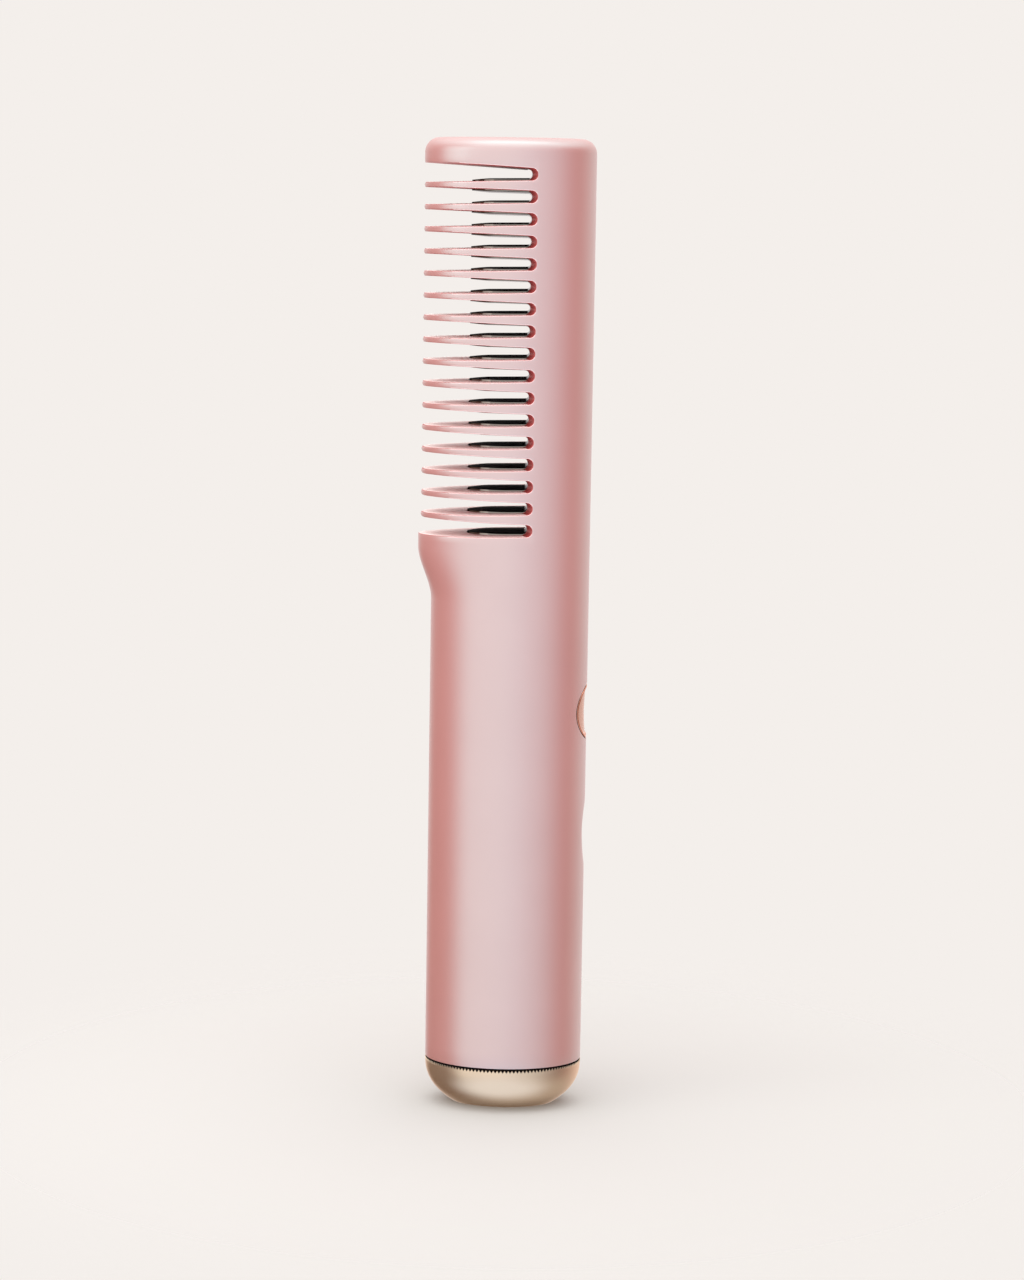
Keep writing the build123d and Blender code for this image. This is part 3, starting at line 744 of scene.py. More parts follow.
@dataclass
class Casing:
    """The two toothed halves of the rose casing.

    Attributes:
        outline: Outline of the body seen from above.
        slots: Slots between the pink teeth.
        wall: Thickness of the handle's wall.
        base: Height of the casing's lower rim.
        shoulder_start: Height at which the comb's swell starts.
        shoulder_rise: Height of the swell.
        shoulder_swell: How far the shoulder swells, against the comb above it.
        shoulder_top: Height of the last plain row below the slots.
        height: Height of the top.
        top_radius: Radius of the rounded top edge.
        edge_radius: Radius of the edges round the slots.
        rim_radius: Radius of the lower rim's edges.
        rim_start: X from which the slots have a light edge, painted pale as a painted highlight.
        tip_round: How far the edges are drawn in at the tips of the teeth.
        tip_start: Distance from the middle at which the round tips start.
        tip_reach: Length of the round tips.
        tooth_rows: Rows across a tooth's outer face, as shares of its height.
        pocket_reach: Reach of the comb's pocket towards the teeth.
        pocket_depth: Half the pocket's depth.
        pocket_back: X of the pocket's back.
        pocket_base: Height of the pocket's floor.
        pocket_top: Height of the pocket's ceiling.
        barrier_base: Height of the lower side of the heat barrier's groove.
        barrier_top: Height of the groove's upper side.
        barrier_inset: Thickness of the wall that the groove leaves.
        scoop_height: Height of the scoop's middle.
        scoop_depth: Depth of the scoop.
        scoop_radius: Radius of the ball that presses the scoop.
        scoop_blend: Softness of the scoop's rim.
        scoop_reach: Distance from the scoop's middle within which the rows stand close together.
        button_height: Height of the button's centre.
        ring_bore: Radius of the trim ring's bore.
        flange_bore: Radius of the wider bore behind it, for the flanges.
        flange_seat: X at which the wider bore ends.
        screws: X and height of the screws that hold the halves together.
        foot_screw: Distance of the end frame's screws from the middle plane.
        foot_boss: Heights of the lower and the upper end of their bosses.
        foot_rib: Height of the ribs that tie these bosses to the wall.
        boss_radius: Radius of the screws' bosses.
        pilot_radius: Radius of the bores that the screws bite into.
        passage_radius: Radius of the rear half's screw holes.
        head_radius: Radius of the holes for the screws' heads.
        head_depth: Depth of those holes.
    """

    outline: Outline = field(default_factory=Outline)
    slots: Slots = field(default_factory=lambda: Slots(1.03, 2.18, 0.065, 0.61, 17.2, lift=0.026))
    wall: float = 1.8
    base: float = 9.63
    shoulder_start: float = 105.8
    shoulder_rise: float = 11.0
    shoulder_swell: float = 1.19
    shoulder_top: float = 118.0
    height: float = 199.7
    top_radius: float = 3.0
    edge_radius: float = 0.34
    rim_radius: float = 0.12
    rim_start: float = -12.5
    tip_round: float = 0.2
    tip_start: float = 17.5
    tip_reach: float = 1.1
    tooth_rows: tuple[float, ...] = (0.4, 0.5, 0.6)
    pocket_reach: float = 9.2
    pocket_depth: float = 7.7
    pocket_back: float = 7.1
    pocket_base: float = 112.84
    pocket_top: float = 193.23
    barrier_base: float = 106.9
    barrier_top: float = 108.6
    barrier_inset: float = 1.2
    scoop_height: float = 57.4
    scoop_depth: float = 0.62
    scoop_radius: float = 34.4
    scoop_blend: float = 0.1
    scoop_reach: float = 10.5
    button_height: float = 83.0
    ring_bore: float = 5.9
    flange_bore: float = 6.55
    flange_seat: float = 12.4
    screws: tuple[Place, ...] = ((0.0, 99.7), (8.125, 195.0))
    foot_screw: float = 5.6
    foot_boss: Span = (11.13, 17.13)
    foot_rib: float = 14.1
    boss_radius: float = 2.3
    pilot_radius: float = 1.02
    passage_radius: float = 1.15
    head_radius: float = 1.85
    head_depth: float = 3.0

    def __post_init__(self) -> None:
        """Work out the columns that all rows share, from the teeth's tips to the spine."""
        self.slot_heights = self.slots.heights()
        self.tip_shares = [0.0, 0.008] + [0.03 + 0.97 * step / 34 for step in range(35)]
        self.before_turn = [0.25, 0.5, 0.75, 0.97]
        self.arc_turns = self.slots.arc(9)
        places = [self.outline.teeth_side(1 - share, 1.0, 0.0) for share in self.tip_shares]
        straight = self.on_arc(math.pi / 2)
        places += [self.on_spine_side(straight * part) for part in self.before_turn]
        self.first_arc = len(places)
        places += [self.on_spine_side(self.on_arc(turn)) for turn in self.arc_turns]
        self.apex = len(places) - 1
        first, last = math.asin(places[-1][0] / self.outline.half_width), math.pi / 2
        turns = [first + (last - first) * step / 46 for step in range(1, 46)] + [last - 0.012, last]
        self.places = places + [self.outline.spine_side(turn, 0.0) for turn in turns]

    def on_arc(self, turn: float) -> float:
        """Find where a slot's root arc has turned by an angle, on the outline.

        Args:
            turn: The angle, 0 at the slot's end.

        Returns:
            X of the place.
        """
        x = 0.0
        for _ in range(12):
            y = self.on_spine_side(x)[1]
            x = self.slots.turn(y) + self.slots.radius(y) * math.cos(turn)
        return x

    def on_spine_side(self, x: float) -> Place:
        """Return the place at X on the spine side of the outline."""
        return self.outline.spine_side(math.asin(x / self.outline.half_width), 0.0)

    def ring(self, swell: float, inset: float) -> list[Place]:
        """Lay the columns round half an outline.

        Args:
            swell: 0 on the handle, 1 at the comb.
            inset: Distance that the outline is drawn in.

        Returns:
            X and Y of each column.
        """
        made = []
        for index, (x, _) in enumerate(self.places):
            if index < len(self.tip_shares):
                made.append(self.outline.teeth_side(1 - self.tip_shares[index], swell, inset))
            else:
                made.append(self.outline.spine_side(math.asin(min(1.0, x / self.outline.half_width)), inset))
        return made

    def pocket(self) -> list[Place]:
        """Lay the columns round half the comb's pocket and the heater bay behind it.

        Returns:
            X and Y of each column.
        """
        reach, depth = self.pocket_reach, self.pocket_depth
        bay = self.ring(0.0, self.wall)
        behind = next(index for index in range(self.apex, len(bay)) if bay[index][0] >= self.pocket_back)
        straight, radius = self.slots.turn(depth), self.slots.radius(depth)
        end = straight + radius
        made = []
        for index, (x, y) in enumerate(self.places):
            if x < 0:
                angle = math.atan2(-y / self.outline.half_depth, -x / (self.outline.half_width + self.outline.overhang))
                made.append((-reach * math.cos(angle), -depth * math.sin(angle)))
            elif index < self.first_arc:
                made.append((straight * self.before_turn[index - len(self.tip_shares)], -depth))
            elif index <= self.apex:
                made.append((straight + radius * math.cos(self.arc_turns[index - self.first_arc]), -depth))
            elif index < behind:
                share = (index - self.apex) / (behind - 1 - self.apex)
                made.append((end + (self.pocket_back - end) * share, -depth))
            else:
                made.append(bay[index])
        return made

    def slot_rise(self, index: int, x: float, y: float, highest: bool) -> float:
        """Return the distance of a slot's edge from its middle line.

        Args:
            index: Number of the column.
            x: X of the place.
            y: Y of the place.
            highest: Whether this is the upper edge of the highest slot, which opens further.

        Returns:
            The distance, which is 0 beyond the slot's end.
        """
        if index < self.first_arc:
            lift = self.slots.lift if highest else 0.0
            return self.slots.half_height(x, y) + lift * (self.slots.turn(y) - x)
        if index <= self.apex:
            return self.slots.radius(y) * math.sin(self.arc_turns[index - self.first_arc])
        return 0.0

    def slot_edge(self, ring: Sequence[Place], centre: float, side: int) -> list[Point]:
        """Return a row that follows a slot's upper (side 1) or lower (side -1) edge, then its middle line."""
        highest = side > 0 and centre == self.slot_heights[-1]
        return [(x, y, centre + side * self.slot_rise(index, x, y, highest)) for index, (x, y) in enumerate(ring)]

    def scooped(self, x: float, y: float, z: float) -> float:
        """Press the scoop into the spine, with a soft rim.

        Args:
            x: X of the place.
            y: Y of the place.
            z: Height of the place.

        Returns:
            X after pressing.
        """
        reach = self.scoop_radius**2 - y * y - (z - self.scoop_height) ** 2
        if reach <= 0 or x < 0:
            return x
        centre = self.outline.half_width - self.scoop_depth + self.scoop_radius
        gap = centre - math.sqrt(reach) - x
        soft = self.scoop_blend
        return x + (gap - math.sqrt(gap * gap + soft * soft)) / 2

    def handle_heights(self) -> list[float]:
        """List the heights of the handle's rows.

        Returns:
            The heights, close together beside the scoop.
        """
        low = self.scoop_height - self.scoop_reach
        beside = [low + 2 * self.scoop_reach * step / 42 for step in range(43)]
        return [self.base + 3, 22.0, 32.0, 40.0] + beside + [74.0, 83.0, 92.0, 99.0]

    def half(self) -> Skin:
        """Build one half of the casing, the front one, as a closed skin.

        Returns:
            The skin, in millimetres.
        """
        skin = Skin()
        pocket = self.pocket()
        rim, edge = self.outside(skin)
        self.inside(skin, rim, pocket)
        self.wall_between(skin, edge, pocket, self.slot_heights[0], -1)
        self.teeth(skin, pocket)
        self.crown(skin, pocket)
        skin.weld()
        skin.close_holes()
        log.info("casing half: %d faces before rounding", len(skin.mesh.faces))
        skin.round_edges(SLOT_EDGE, self.edge_radius, 3)
        skin.round_edges(RIM_EDGE, self.rim_radius, 2)
        # Each face takes its zone's finish, which paints shade, a highlight or a pale sheen beside the slots.
        for face in skin.mesh.faces:
            face.material_index = self.zone(face).value
        return skin

    def outside(self, skin: Skin) -> tuple[list[Vert], list[Vert]]:
        """Grow the outside, from the rim over the shoulder to the lowest slot.

        Args:
            skin: The skin that grows.

        Returns:
            The rim's row and the lowest slot's edge.
        """
        handle = self.ring(0.0, 0.0)
        rim = skin.start([(x, y, self.base) for x, y in handle], mark=RIM_EDGE)
        for height in self.handle_heights():
            skin.grow([(self.scooped(x, y, height), y, height) for x, y in handle])
        for step in range(25):
            share = step / 24
            swell = self.shoulder_swell * share * share * (3 - 2 * share)
            height = self.shoulder_start + share * self.shoulder_rise
            skin.grow([(x, y, height) for x, y in self.ring(swell, 0.0)])
        shoulder = self.ring(self.shoulder_swell, 0.0)
        skin.grow([(x, y, self.shoulder_top) for x, y in shoulder])
        return rim, skin.grow(self.slot_edge(shoulder, self.slot_heights[0], -1), mark=SLOT_EDGE)

    def inside(self, skin: Skin, rim: Sequence[Vert], pocket: Sequence[Place]) -> None:
        """Grow the inside, from the rim up the handle, past the barrier's groove, into the comb's pocket.

        Args:
            skin: The skin that grows.
            rim: The rim's row.
            pocket: The inner places.
        """
        bay, groove = self.ring(0.0, self.wall), self.ring(0.0, self.barrier_inset)
        skin.take(rim)
        for ring, height in ((bay, self.base), (bay, self.barrier_base), (groove, self.barrier_base),
                             (groove, self.barrier_top), (bay, self.barrier_top), (bay, self.pocket_base),
                             (pocket, self.pocket_base)):
            skin.grow([(x, y, height) for x, y in ring])
        skin.grow(self.slot_edge(pocket, self.slot_heights[0], -1))

    def teeth(self, skin: Skin, pocket: Sequence[Place]) -> None:
        """Grow the teeth, one between each pair of slots.

        Args:
            skin: The skin that grows.
            pocket: The inner places.
        """
        comb = self.ring(1.0, 0.0)
        for lower, upper in zip(self.slot_heights, self.slot_heights[1:]):
            low_edge, high_edge = self.slot_edge(comb, lower, 1), self.slot_edge(comb, upper, -1)
            start = skin.start(self.blunted(low_edge, high_edge, 0.0), mark=SLOT_EDGE)
            for share in self.tooth_rows:
                skin.grow(self.blunted(low_edge, high_edge, share))
            end = skin.grow(self.blunted(low_edge, high_edge, 1.0), mark=SLOT_EDGE)
            self.wall_between(skin, start, pocket, lower, 1)
            self.wall_between(skin, end, pocket, upper, -1)
            skin.start(self.slot_edge(pocket, lower, 1))
            skin.grow(self.slot_edge(pocket, upper, -1))

    def crown(self, skin: Skin, pocket: Sequence[Place]) -> None:
        """Grow the block above the highest slot, with its rounded top.

        Args:
            skin: The skin that grows.
            pocket: The inner places.
        """
        comb = self.ring(1.0, 0.0)
        start = skin.start(self.slot_edge(comb, self.slot_heights[-1], 1), mark=SLOT_EDGE)
        skin.grow([(x, y, self.height - self.top_radius - 1.0) for x, y in comb])
        for step in range(11):
            turn = math.radians(90 * step / 10)
            inset = self.top_radius * (1 - math.cos(turn))
            height = self.height - self.top_radius * (1 - math.sin(turn))
            skin.grow([(x, y, height) for x, y in self.ring(1.0, inset)])
        skin.cap()
        self.close_top_slot(skin, start, pocket)

    def blunted(self, low_edge: Sequence[Point], high_edge: Sequence[Point], share: float) -> list[Point]:
        """Return a row between a tooth's edges, drawn in near the edges where the tooth ends in a round tip.

        Args:
            low_edge: The tooth's lower edge.
            high_edge: Its upper edge.
            share: Place between the two, from 0 to 1.

        Returns:
            The row's places.
        """
        made = []
        for low, high in zip(low_edge, high_edge):
            nearness = min(1.0, max(0.0, (-low[0] - self.tip_start) / self.tip_reach))
            shift = self.tip_round * nearness**2 * (3 - 2 * nearness) * abs(2 * share - 1) ** 2.2
            made.append((low[0] + shift, low[1], low[2] + (high[2] - low[2]) * share))
        return made

    def zone(self, face: bmesh.types.BMFace) -> Zone:
        """Choose a face's zone by where it lies beside a slot and how steeply it leans.

        Args:
            face: A face of the skin.

        Returns:
            The zone.
        """
        # Height of a slot's faces and of its end's faces from its middle line, and length of the end
        slot_reach, end_reach, end_length = 2.1, 1.3, 1.8
        # How much a face leans towards the slot, and the part of its normal along Y at which it looks inwards
        level, steep, half_level, upright, inward = 0.985, 0.85, 0.5, 0.12, -0.05
        middle, normal = face.calc_center_median(), face.normal
        step = round((middle.z - self.slots.lowest) / self.slots.pitch)
        height = abs(middle.z - self.slots.lowest - step * self.slots.pitch)
        below = step == 0 and middle.z < self.shoulder_top + 1
        if not 0 <= step < self.slots.count or height > slot_reach or below:
            return Zone.FACE
        # A slot's end, its downward-facing upper wall and the steeper inner bevels are SHADED, painted shade; its
        # upward-facing lower wall is FLOOR, a painted pale sheen; the outer bevel is RIM, a painted highlight.
        past_turn = middle.x - self.slots.turn(middle.y)
        lean = math.hypot(normal.z, min(normal.x, 0.0) if past_turn > 0 else 0.0)
        if 0 < past_turn < end_length and height < end_reach and lean > steep:
            return Zone.SHADED
        if lean > level:
            return Zone.FLOOR if normal.z > 0 else Zone.SHADED
        if normal.y > inward or lean < upright:
            return Zone.FACE
        if lean >= half_level:
            return Zone.SHADED
        return Zone.RIM if middle.x > self.rim_start else Zone.FACE

    def wall_between(self, skin: Skin, outer: Sequence[Vert], pocket: Sequence[Place], centre: float,
                     side: int) -> list[Vert]:
        """Grow a slot's wall from its outer edge to its inner edge.

        Args:
            skin: The skin that grows.
            outer: The row along the slot's outer edge.
            pocket: The inner places.
            centre: Height of the slot.
            side: 1 for the slot's upper wall, -1 for its lower wall.

        Returns:
            The row along the inner edge.
        """
        skin.take(outer[:self.apex + 1])
        return skin.grow(self.slot_edge(pocket, centre, side)[:self.apex + 1])

    def close_top_slot(self, skin: Skin, outer: Sequence[Vert], pocket: Sequence[Place]) -> None:
        """Grow the highest slot's upper wall across the comb's pocket, and the pocket's ceiling behind it.

        Args:
            skin: The skin that grows.
            outer: The row along the slot's outer edge.
            pocket: The inner places.
        """
        centre = self.slot_heights[-1]
        edge = self.slot_edge(pocket, centre, 1)
        ceiling = [(x, y, max(z, self.pocket_top)) for x, y, z in edge]
        reached = self.wall_between(skin, outer, pocket, centre, 1)
        beyond = skin.start(edge[self.apex:])
        skin.take(reached)
        raised = skin.grow(ceiling[:self.apex + 1])
        across = []
        for index, vert in enumerate(raised):
            height = centre + self.slot_rise(index, vert.co.x, 0.0, True)
            across.append((vert.co.x, 0.0, max(height, self.pocket_top)))
        skin.grow(across)
        skin.take(beyond)
        skin.grow(ceiling[self.apex:])
        skin.grow([(x, 0.0, self.pocket_top) for x, _, _ in ceiling[self.apex:]])

    def rods(self, side: int) -> list[Rod]:
        """List the openings, bosses and bores of one half.

        Args:
            side: -1 for the front half, 1 for the rear one.

        Returns:
            The tool bodies, in order.
        """
        depth, middle = self.outline.half_depth, self.button_height
        wall, foot = side * (depth - self.wall / 2), side * self.foot_screw
        seam = self.screws[0][1]
        # The ring's bore and the flanges' bore, then the bosses with the rib and the bore of the lower one
        rods = [
            Rod((10.5, 0, middle), (20, 0, middle), self.ring_bore, segments=96),
            Rod((7.6, 0, middle), (self.flange_seat, 0, middle), self.flange_bore, segments=64),
            Rod((0, wall, seam), (0, 0, seam), self.boss_radius, Cut.JOIN),
            Rod((0, foot, self.foot_boss[0]), (0, foot, self.foot_boss[1]), self.boss_radius, Cut.JOIN),
            Rod((0, wall, self.foot_rib), (0, foot, self.foot_rib), 1.2, Cut.JOIN),
            Rod((0, foot, 9.0), (0, foot, self.foot_boss[1] - 0.35), self.pilot_radius),
        ]
        for x, z in self.screws:
            if side < 0:
                rods.append(Rod((x, 1, z), (x, -7.2, z), self.pilot_radius))
            else:
                rods.append(Rod((x, -1, z), (x, 13, z), self.passage_radius))
                rods.append(Rod((x, depth - self.head_depth, z), (x, 13, z), self.head_radius))
        return rods

    def build(self, wardrobe: Wardrobe) -> None:
        """Build both halves, work their bores and dress them.

        Args:
            wardrobe: The finishes.
        """
        front = self.half().piece("casing_front")
        rear = self.turned(front, "casing_rear")
        for side, piece in ((-1, front), (1, rear)):
            work(piece, self.rods(side))
            # The three extra finishes paint shade, a highlight and a pale sheen beside the slots.
            wardrobe.dress(piece, "rose_casing", "rose_painted_shade", "rose_painted_highlight", "rose_painted_sheen")
            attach(piece, "body")
        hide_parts("front_shell")
        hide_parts("rear_shell")
        log.info("casing: two toothed halves")

    def turned(self, piece: bpy.types.Object, name: str) -> bpy.types.Object:
        """Return the mirror image of a half across the middle plane.

        Args:
            piece: The front half.
            name: Name of the new object.

        Returns:
            The rear half.
        """
        mesh = bmesh.new()
        mesh.from_mesh(piece.data)
        bmesh.ops.scale(mesh, vec=(1, -1, 1), verts=mesh.verts[:])
        bmesh.ops.reverse_faces(mesh, faces=mesh.faces[:])
        return put(name, settle(mesh, name))


@dataclass
class HeatingComb:
    """The polished metal comb that sits between the pink teeth.

    Attributes:
        reach: Distance of the tips from the middle, towards the teeth.
        half_depth: Half the depth of the bar.
        back: X of the flat back.
        slots: Slots between the metal teeth, with a rounded ridge on the middle plane.
        low: Height of the lower end.
        high: Height of the upper end.
        edge_radius: Radius of the teeth's edges.
        taper: How much thinner each side of a tooth gets towards its tip.
        taper_reach: Length of the thinner end.
        crown: Depths of the rows across a slot's wall, as shares of the outer depth.
        foot: Height of the plain foot.
        dark_reflection_lean: Least upward part of a face's normal at which it is painted black, as a painted dark
            reflection of the shaded teeth above.
        bore_pitch: Distance between the screw bores.
        bore_radius: Radius of the screw bores.
        bore_end: X at which they end.
    """

    reach: float = 9.0
    half_depth: float = 7.5
    back: float = 6.9
    slots: Slots = field(default_factory=lambda: Slots(3.1, 1.25, 0.038, 3.3, 3.3, soften=0.8))
    low: float = 113.04
    high: float = 193.03
    edge_radius: float = 0.16
    taper: float = 0.3
    taper_reach: float = 4.0
    crown: tuple[float, ...] = (1.0, 0.75, 0.5, 0.28, 0.12, 0.0)
    foot: float = 4.0
    dark_reflection_lean: float = 0.93
    bore_pitch: float = 17.5
    bore_radius: float = 1.02
    bore_end: float = 3.725

    def __post_init__(self) -> None:
        """Work out the columns from the tip along the front to the back's middle."""
        self.arc_turns = self.slots.arc(8)
        depth, back = self.half_depth, self.back
        turn, radius = self.slots.turn(depth), self.slots.radius(depth)
        start = turn + radius
        angles = [math.pi / 2 * step / 32 for step in range(33)]
        self.places = [(-self.reach * math.cos(angle), -depth * math.sin(angle)) for angle in angles]
        self.places += [(turn * part, -depth) for part in (0.35, 0.7, 0.96)]
        self.first_arc = len(self.places)
        self.places += [(turn + radius * math.cos(angle), -depth) for angle in self.arc_turns]
        self.apex = len(self.places) - 1
        self.places += [(start + (back - start) * part, -depth) for part in (0.3, 0.7, 1.0)]
        self.places += [(back, -depth * (1 - part)) for part in (0.2, 0.6, 1.0)]

    def edge(self, centre: float, side: int, depth_share: float = 1.0) -> list[Point]:
        """Return a row along a slot's edge, or along its wall nearer to the middle plane.

        Args:
            centre: Height of the slot.
            side: 1 for the upper wall, -1 for the lower.
            depth_share: 1 on the outside, 0 on the middle plane.

        Returns:
            The row's places.
        """
        row = []
        for index, (x, y) in enumerate(self.places):
            y, rise = y * depth_share, 0.0
            if index < self.first_arc:
                thinner = max(0.0, (self.taper_reach - self.reach - x) / self.taper_reach)
                rise = self.slots.half_height(x, y) + self.taper * thinner**1.5
            elif index <= self.apex:
                turn = self.arc_turns[index - self.first_arc]
                x = self.slots.turn(y) + self.slots.radius(y) * math.cos(turn)
                rise = self.slots.radius(y) * math.sin(turn)
            row.append((x, y, centre + side * rise))
        return row

    def walls(self, skin: Skin, outer: Sequence[Vert], centre: float, side: int) -> None:
        """Grow a slot's wall from its outer edge to the middle plane, over its crown.

        Args:
            skin: The skin that grows.
            outer: The row along the slot's outer edge.
            centre: Height of the slot.
            side: 1 for the upper wall, -1 for the lower.
        """
        skin.take(outer[:self.apex + 1])
        for share in self.crown[1:]:
            skin.grow(self.edge(centre, side, share)[:self.apex + 1])

    def bar(self) -> Skin:
        """Build the comb.

        Returns:
            The closed skin.
        """
        skin = Skin()
        heights = self.slots.heights()
        skin.start([(x, y, self.low) for x, y in self.places])
        skin.cap()
        skin.grow([(x, y, self.low + self.foot) for x, y in self.places])
        self.walls(skin, skin.grow(self.edge(heights[0], -1), mark=SLOT_EDGE), heights[0], -1)
        for lower, upper in zip(heights, heights[1:]):
            low_edge, high_edge = self.edge(lower, 1), self.edge(upper, -1)
            start = skin.start(low_edge, mark=SLOT_EDGE)
            skin.grow([(a[0], a[1], (a[2] + b[2]) / 2) for a, b in zip(low_edge, high_edge)])
            end = skin.grow(high_edge, mark=SLOT_EDGE)
            self.walls(skin, start, lower, 1)
            self.walls(skin, end, upper, -1)
        behind = self.places[self.apex:]
        skin.start([(x, y, heights[-1]) for x, y in behind])
        top = skin.grow([(x, y, self.high) for x, y in behind])
        root = [self.edge(heights[-1], 1, share)[self.apex] for share in self.crown]
        skin.start(root)
        inner = skin.grow([(x, y, self.high) for x, y, _ in root])
        skin.mesh.faces.new(top + inner[:0:-1])
        skin.weld()
        skin.mirror()
        skin.round_edges(SLOT_EDGE, self.edge_radius, 3)
        # The metal teeth's upward faces are painted black: a painted dark reflection of the shaded pink teeth above.
        for face in skin.mesh.faces:
            above = face.calc_center_median().z > self.low + self.foot + 1
            face.material_index = int(above and face.normal.z > self.dark_reflection_lean)
        return skin

    def build(self, wardrobe: Wardrobe) -> None:
        """Build the comb, work its screw bores and dress it.

        Args:
            wardrobe: The finishes.
        """
        made = self.bar().piece("heating_comb_polished", smooth_angle=40)
        middle = (self.low + self.slots.root_height / 2 + self.slots.heights()[-1]) / 2
        heights = [middle + step * self.bore_pitch for step in (-1, 0, 1)]
        work(made, [Rod((8.0, 0, z), (self.bore_end, 0, z), self.bore_radius) for z in heights], smooth_angle=40)
        # The second finish is the painted dark reflection on the teeth's upward faces.
        wardrobe.dress(made, "polished_casting", "black_painted_reflection")
        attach(made, "body")
        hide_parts("heating_comb")
        log.info("heating comb: %d slots", self.slots.count)


@dataclass
class BaseCap:
    """The champagne cap: a rounded bowl on a flat foot, with a milled rim under the seam.

    Attributes:
        outline: Outline of the body seen from above.
        height: Height of the rim.
        foot_inset: How far the foot is drawn in.
        curve: Power of the bowl's curve.
        columns: Number of columns round the cap, four to a notch.
        notch_depth: Depth of the milled notches.
        rim_start: Distance from the rim down to the last row below the notches.
        pocket_inset: How far the pocket is drawn in.
        pocket_floor: Height of the pocket's ledge.
        well_inset: How far the socket's well is drawn in.
        well_floor: Height of the well's floor.
    """

    outline: Outline = field(default_factory=Outline)
    height: float = 9.33
    foot_inset: float = 5.81
    curve: float = 2.5
    columns: int = 528
    notch_depth: float = 0.6
    rim_start: float = 0.66
    pocket_inset: float = 3.0
    pocket_floor: float = 4.0
    well_inset: float = 5.9
    well_floor: float = 1.8

    def row(self, height: float, inset: float, notch: float = 0.0) -> list[Point]:
        """Return a row round the cap.

        Args:
            height: Height of the row.
            inset: How far it is drawn in.
            notch: Share of the notches' depth that the row follows.

        Returns:
            The row's places.
        """
        made = []
        width, depth = self.outline.half_width - inset, self.outline.half_depth - inset
        phases = (0.0, 0.5, 1.0, 0.5)
        for column in range(self.columns):
            turn = 2 * math.pi * column / self.columns
            drop = self.notch_depth * notch * phases[column % len(phases)]
            made.append((width * math.cos(turn), depth * math.sin(turn), height - drop))
        return made

    def bowl_inset(self, height: float) -> float:
        """Return how far the bowl is drawn in at a height."""
        return self.foot_inset * (1 - height / self.height) ** self.curve

    def build(self, wardrobe: Wardrobe) -> None:
        """Build the cap and dress it.

        Args:
            wardrobe: The finishes.
        """
        high, foot, steps = self.height, self.foot_inset, 25
        heights = [0.12 + (high - 0.87) * step / steps for step in range(steps + 1)] + [high - self.rim_start]
        # Each row has its height, its inset and the share of the notches' depth that it follows
        bowl = [(0.0, foot + 0.12, 0.0), (0.04, foot - 0.01, 0.0)]
        bowl += [(height, self.bowl_inset(height), 0.0) for height in heights]
        bowl += [(high - 0.1, 0.0, 0.85), (high - 0.03, 0.03, 0.95), (high, 0.1, 1.0)]
        # The rim's top, in the notches and under the seam, takes the second finish, black, as painted shade.
        painted_shade_top = [(high, 0.3, 1.0), (high, 0.34, 0.0), (high, 1.0, 0.0)]
        hollow = [(high, self.pocket_inset, 0.0), (self.pocket_floor, self.pocket_inset, 0.0),
                  (self.pocket_floor, self.well_inset, 0.0), (self.well_floor, self.well_inset, 0.0)]
        skin = Skin()
        skin.start(self.row(0.0, foot + 1.2), closed=True)
        skin.cap()
        for side, rows in ((0, bowl), (1, painted_shade_top), (0, hollow)):
            skin.grow_rows([self.row(*row) for row in rows], side)
        skin.cap()
        face_outwards(skin.mesh)
        made = skin.piece("cap_with_milled_rim", smooth_angle=28)
        # The black second finish is painted shade on the rim's top and in its notches.
        wardrobe.dress(made, "champagne_metal", "black_plastic")
        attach(made, "cap")
        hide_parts("base_cap")
        log.info("base cap: %d notches", self.columns // 4)


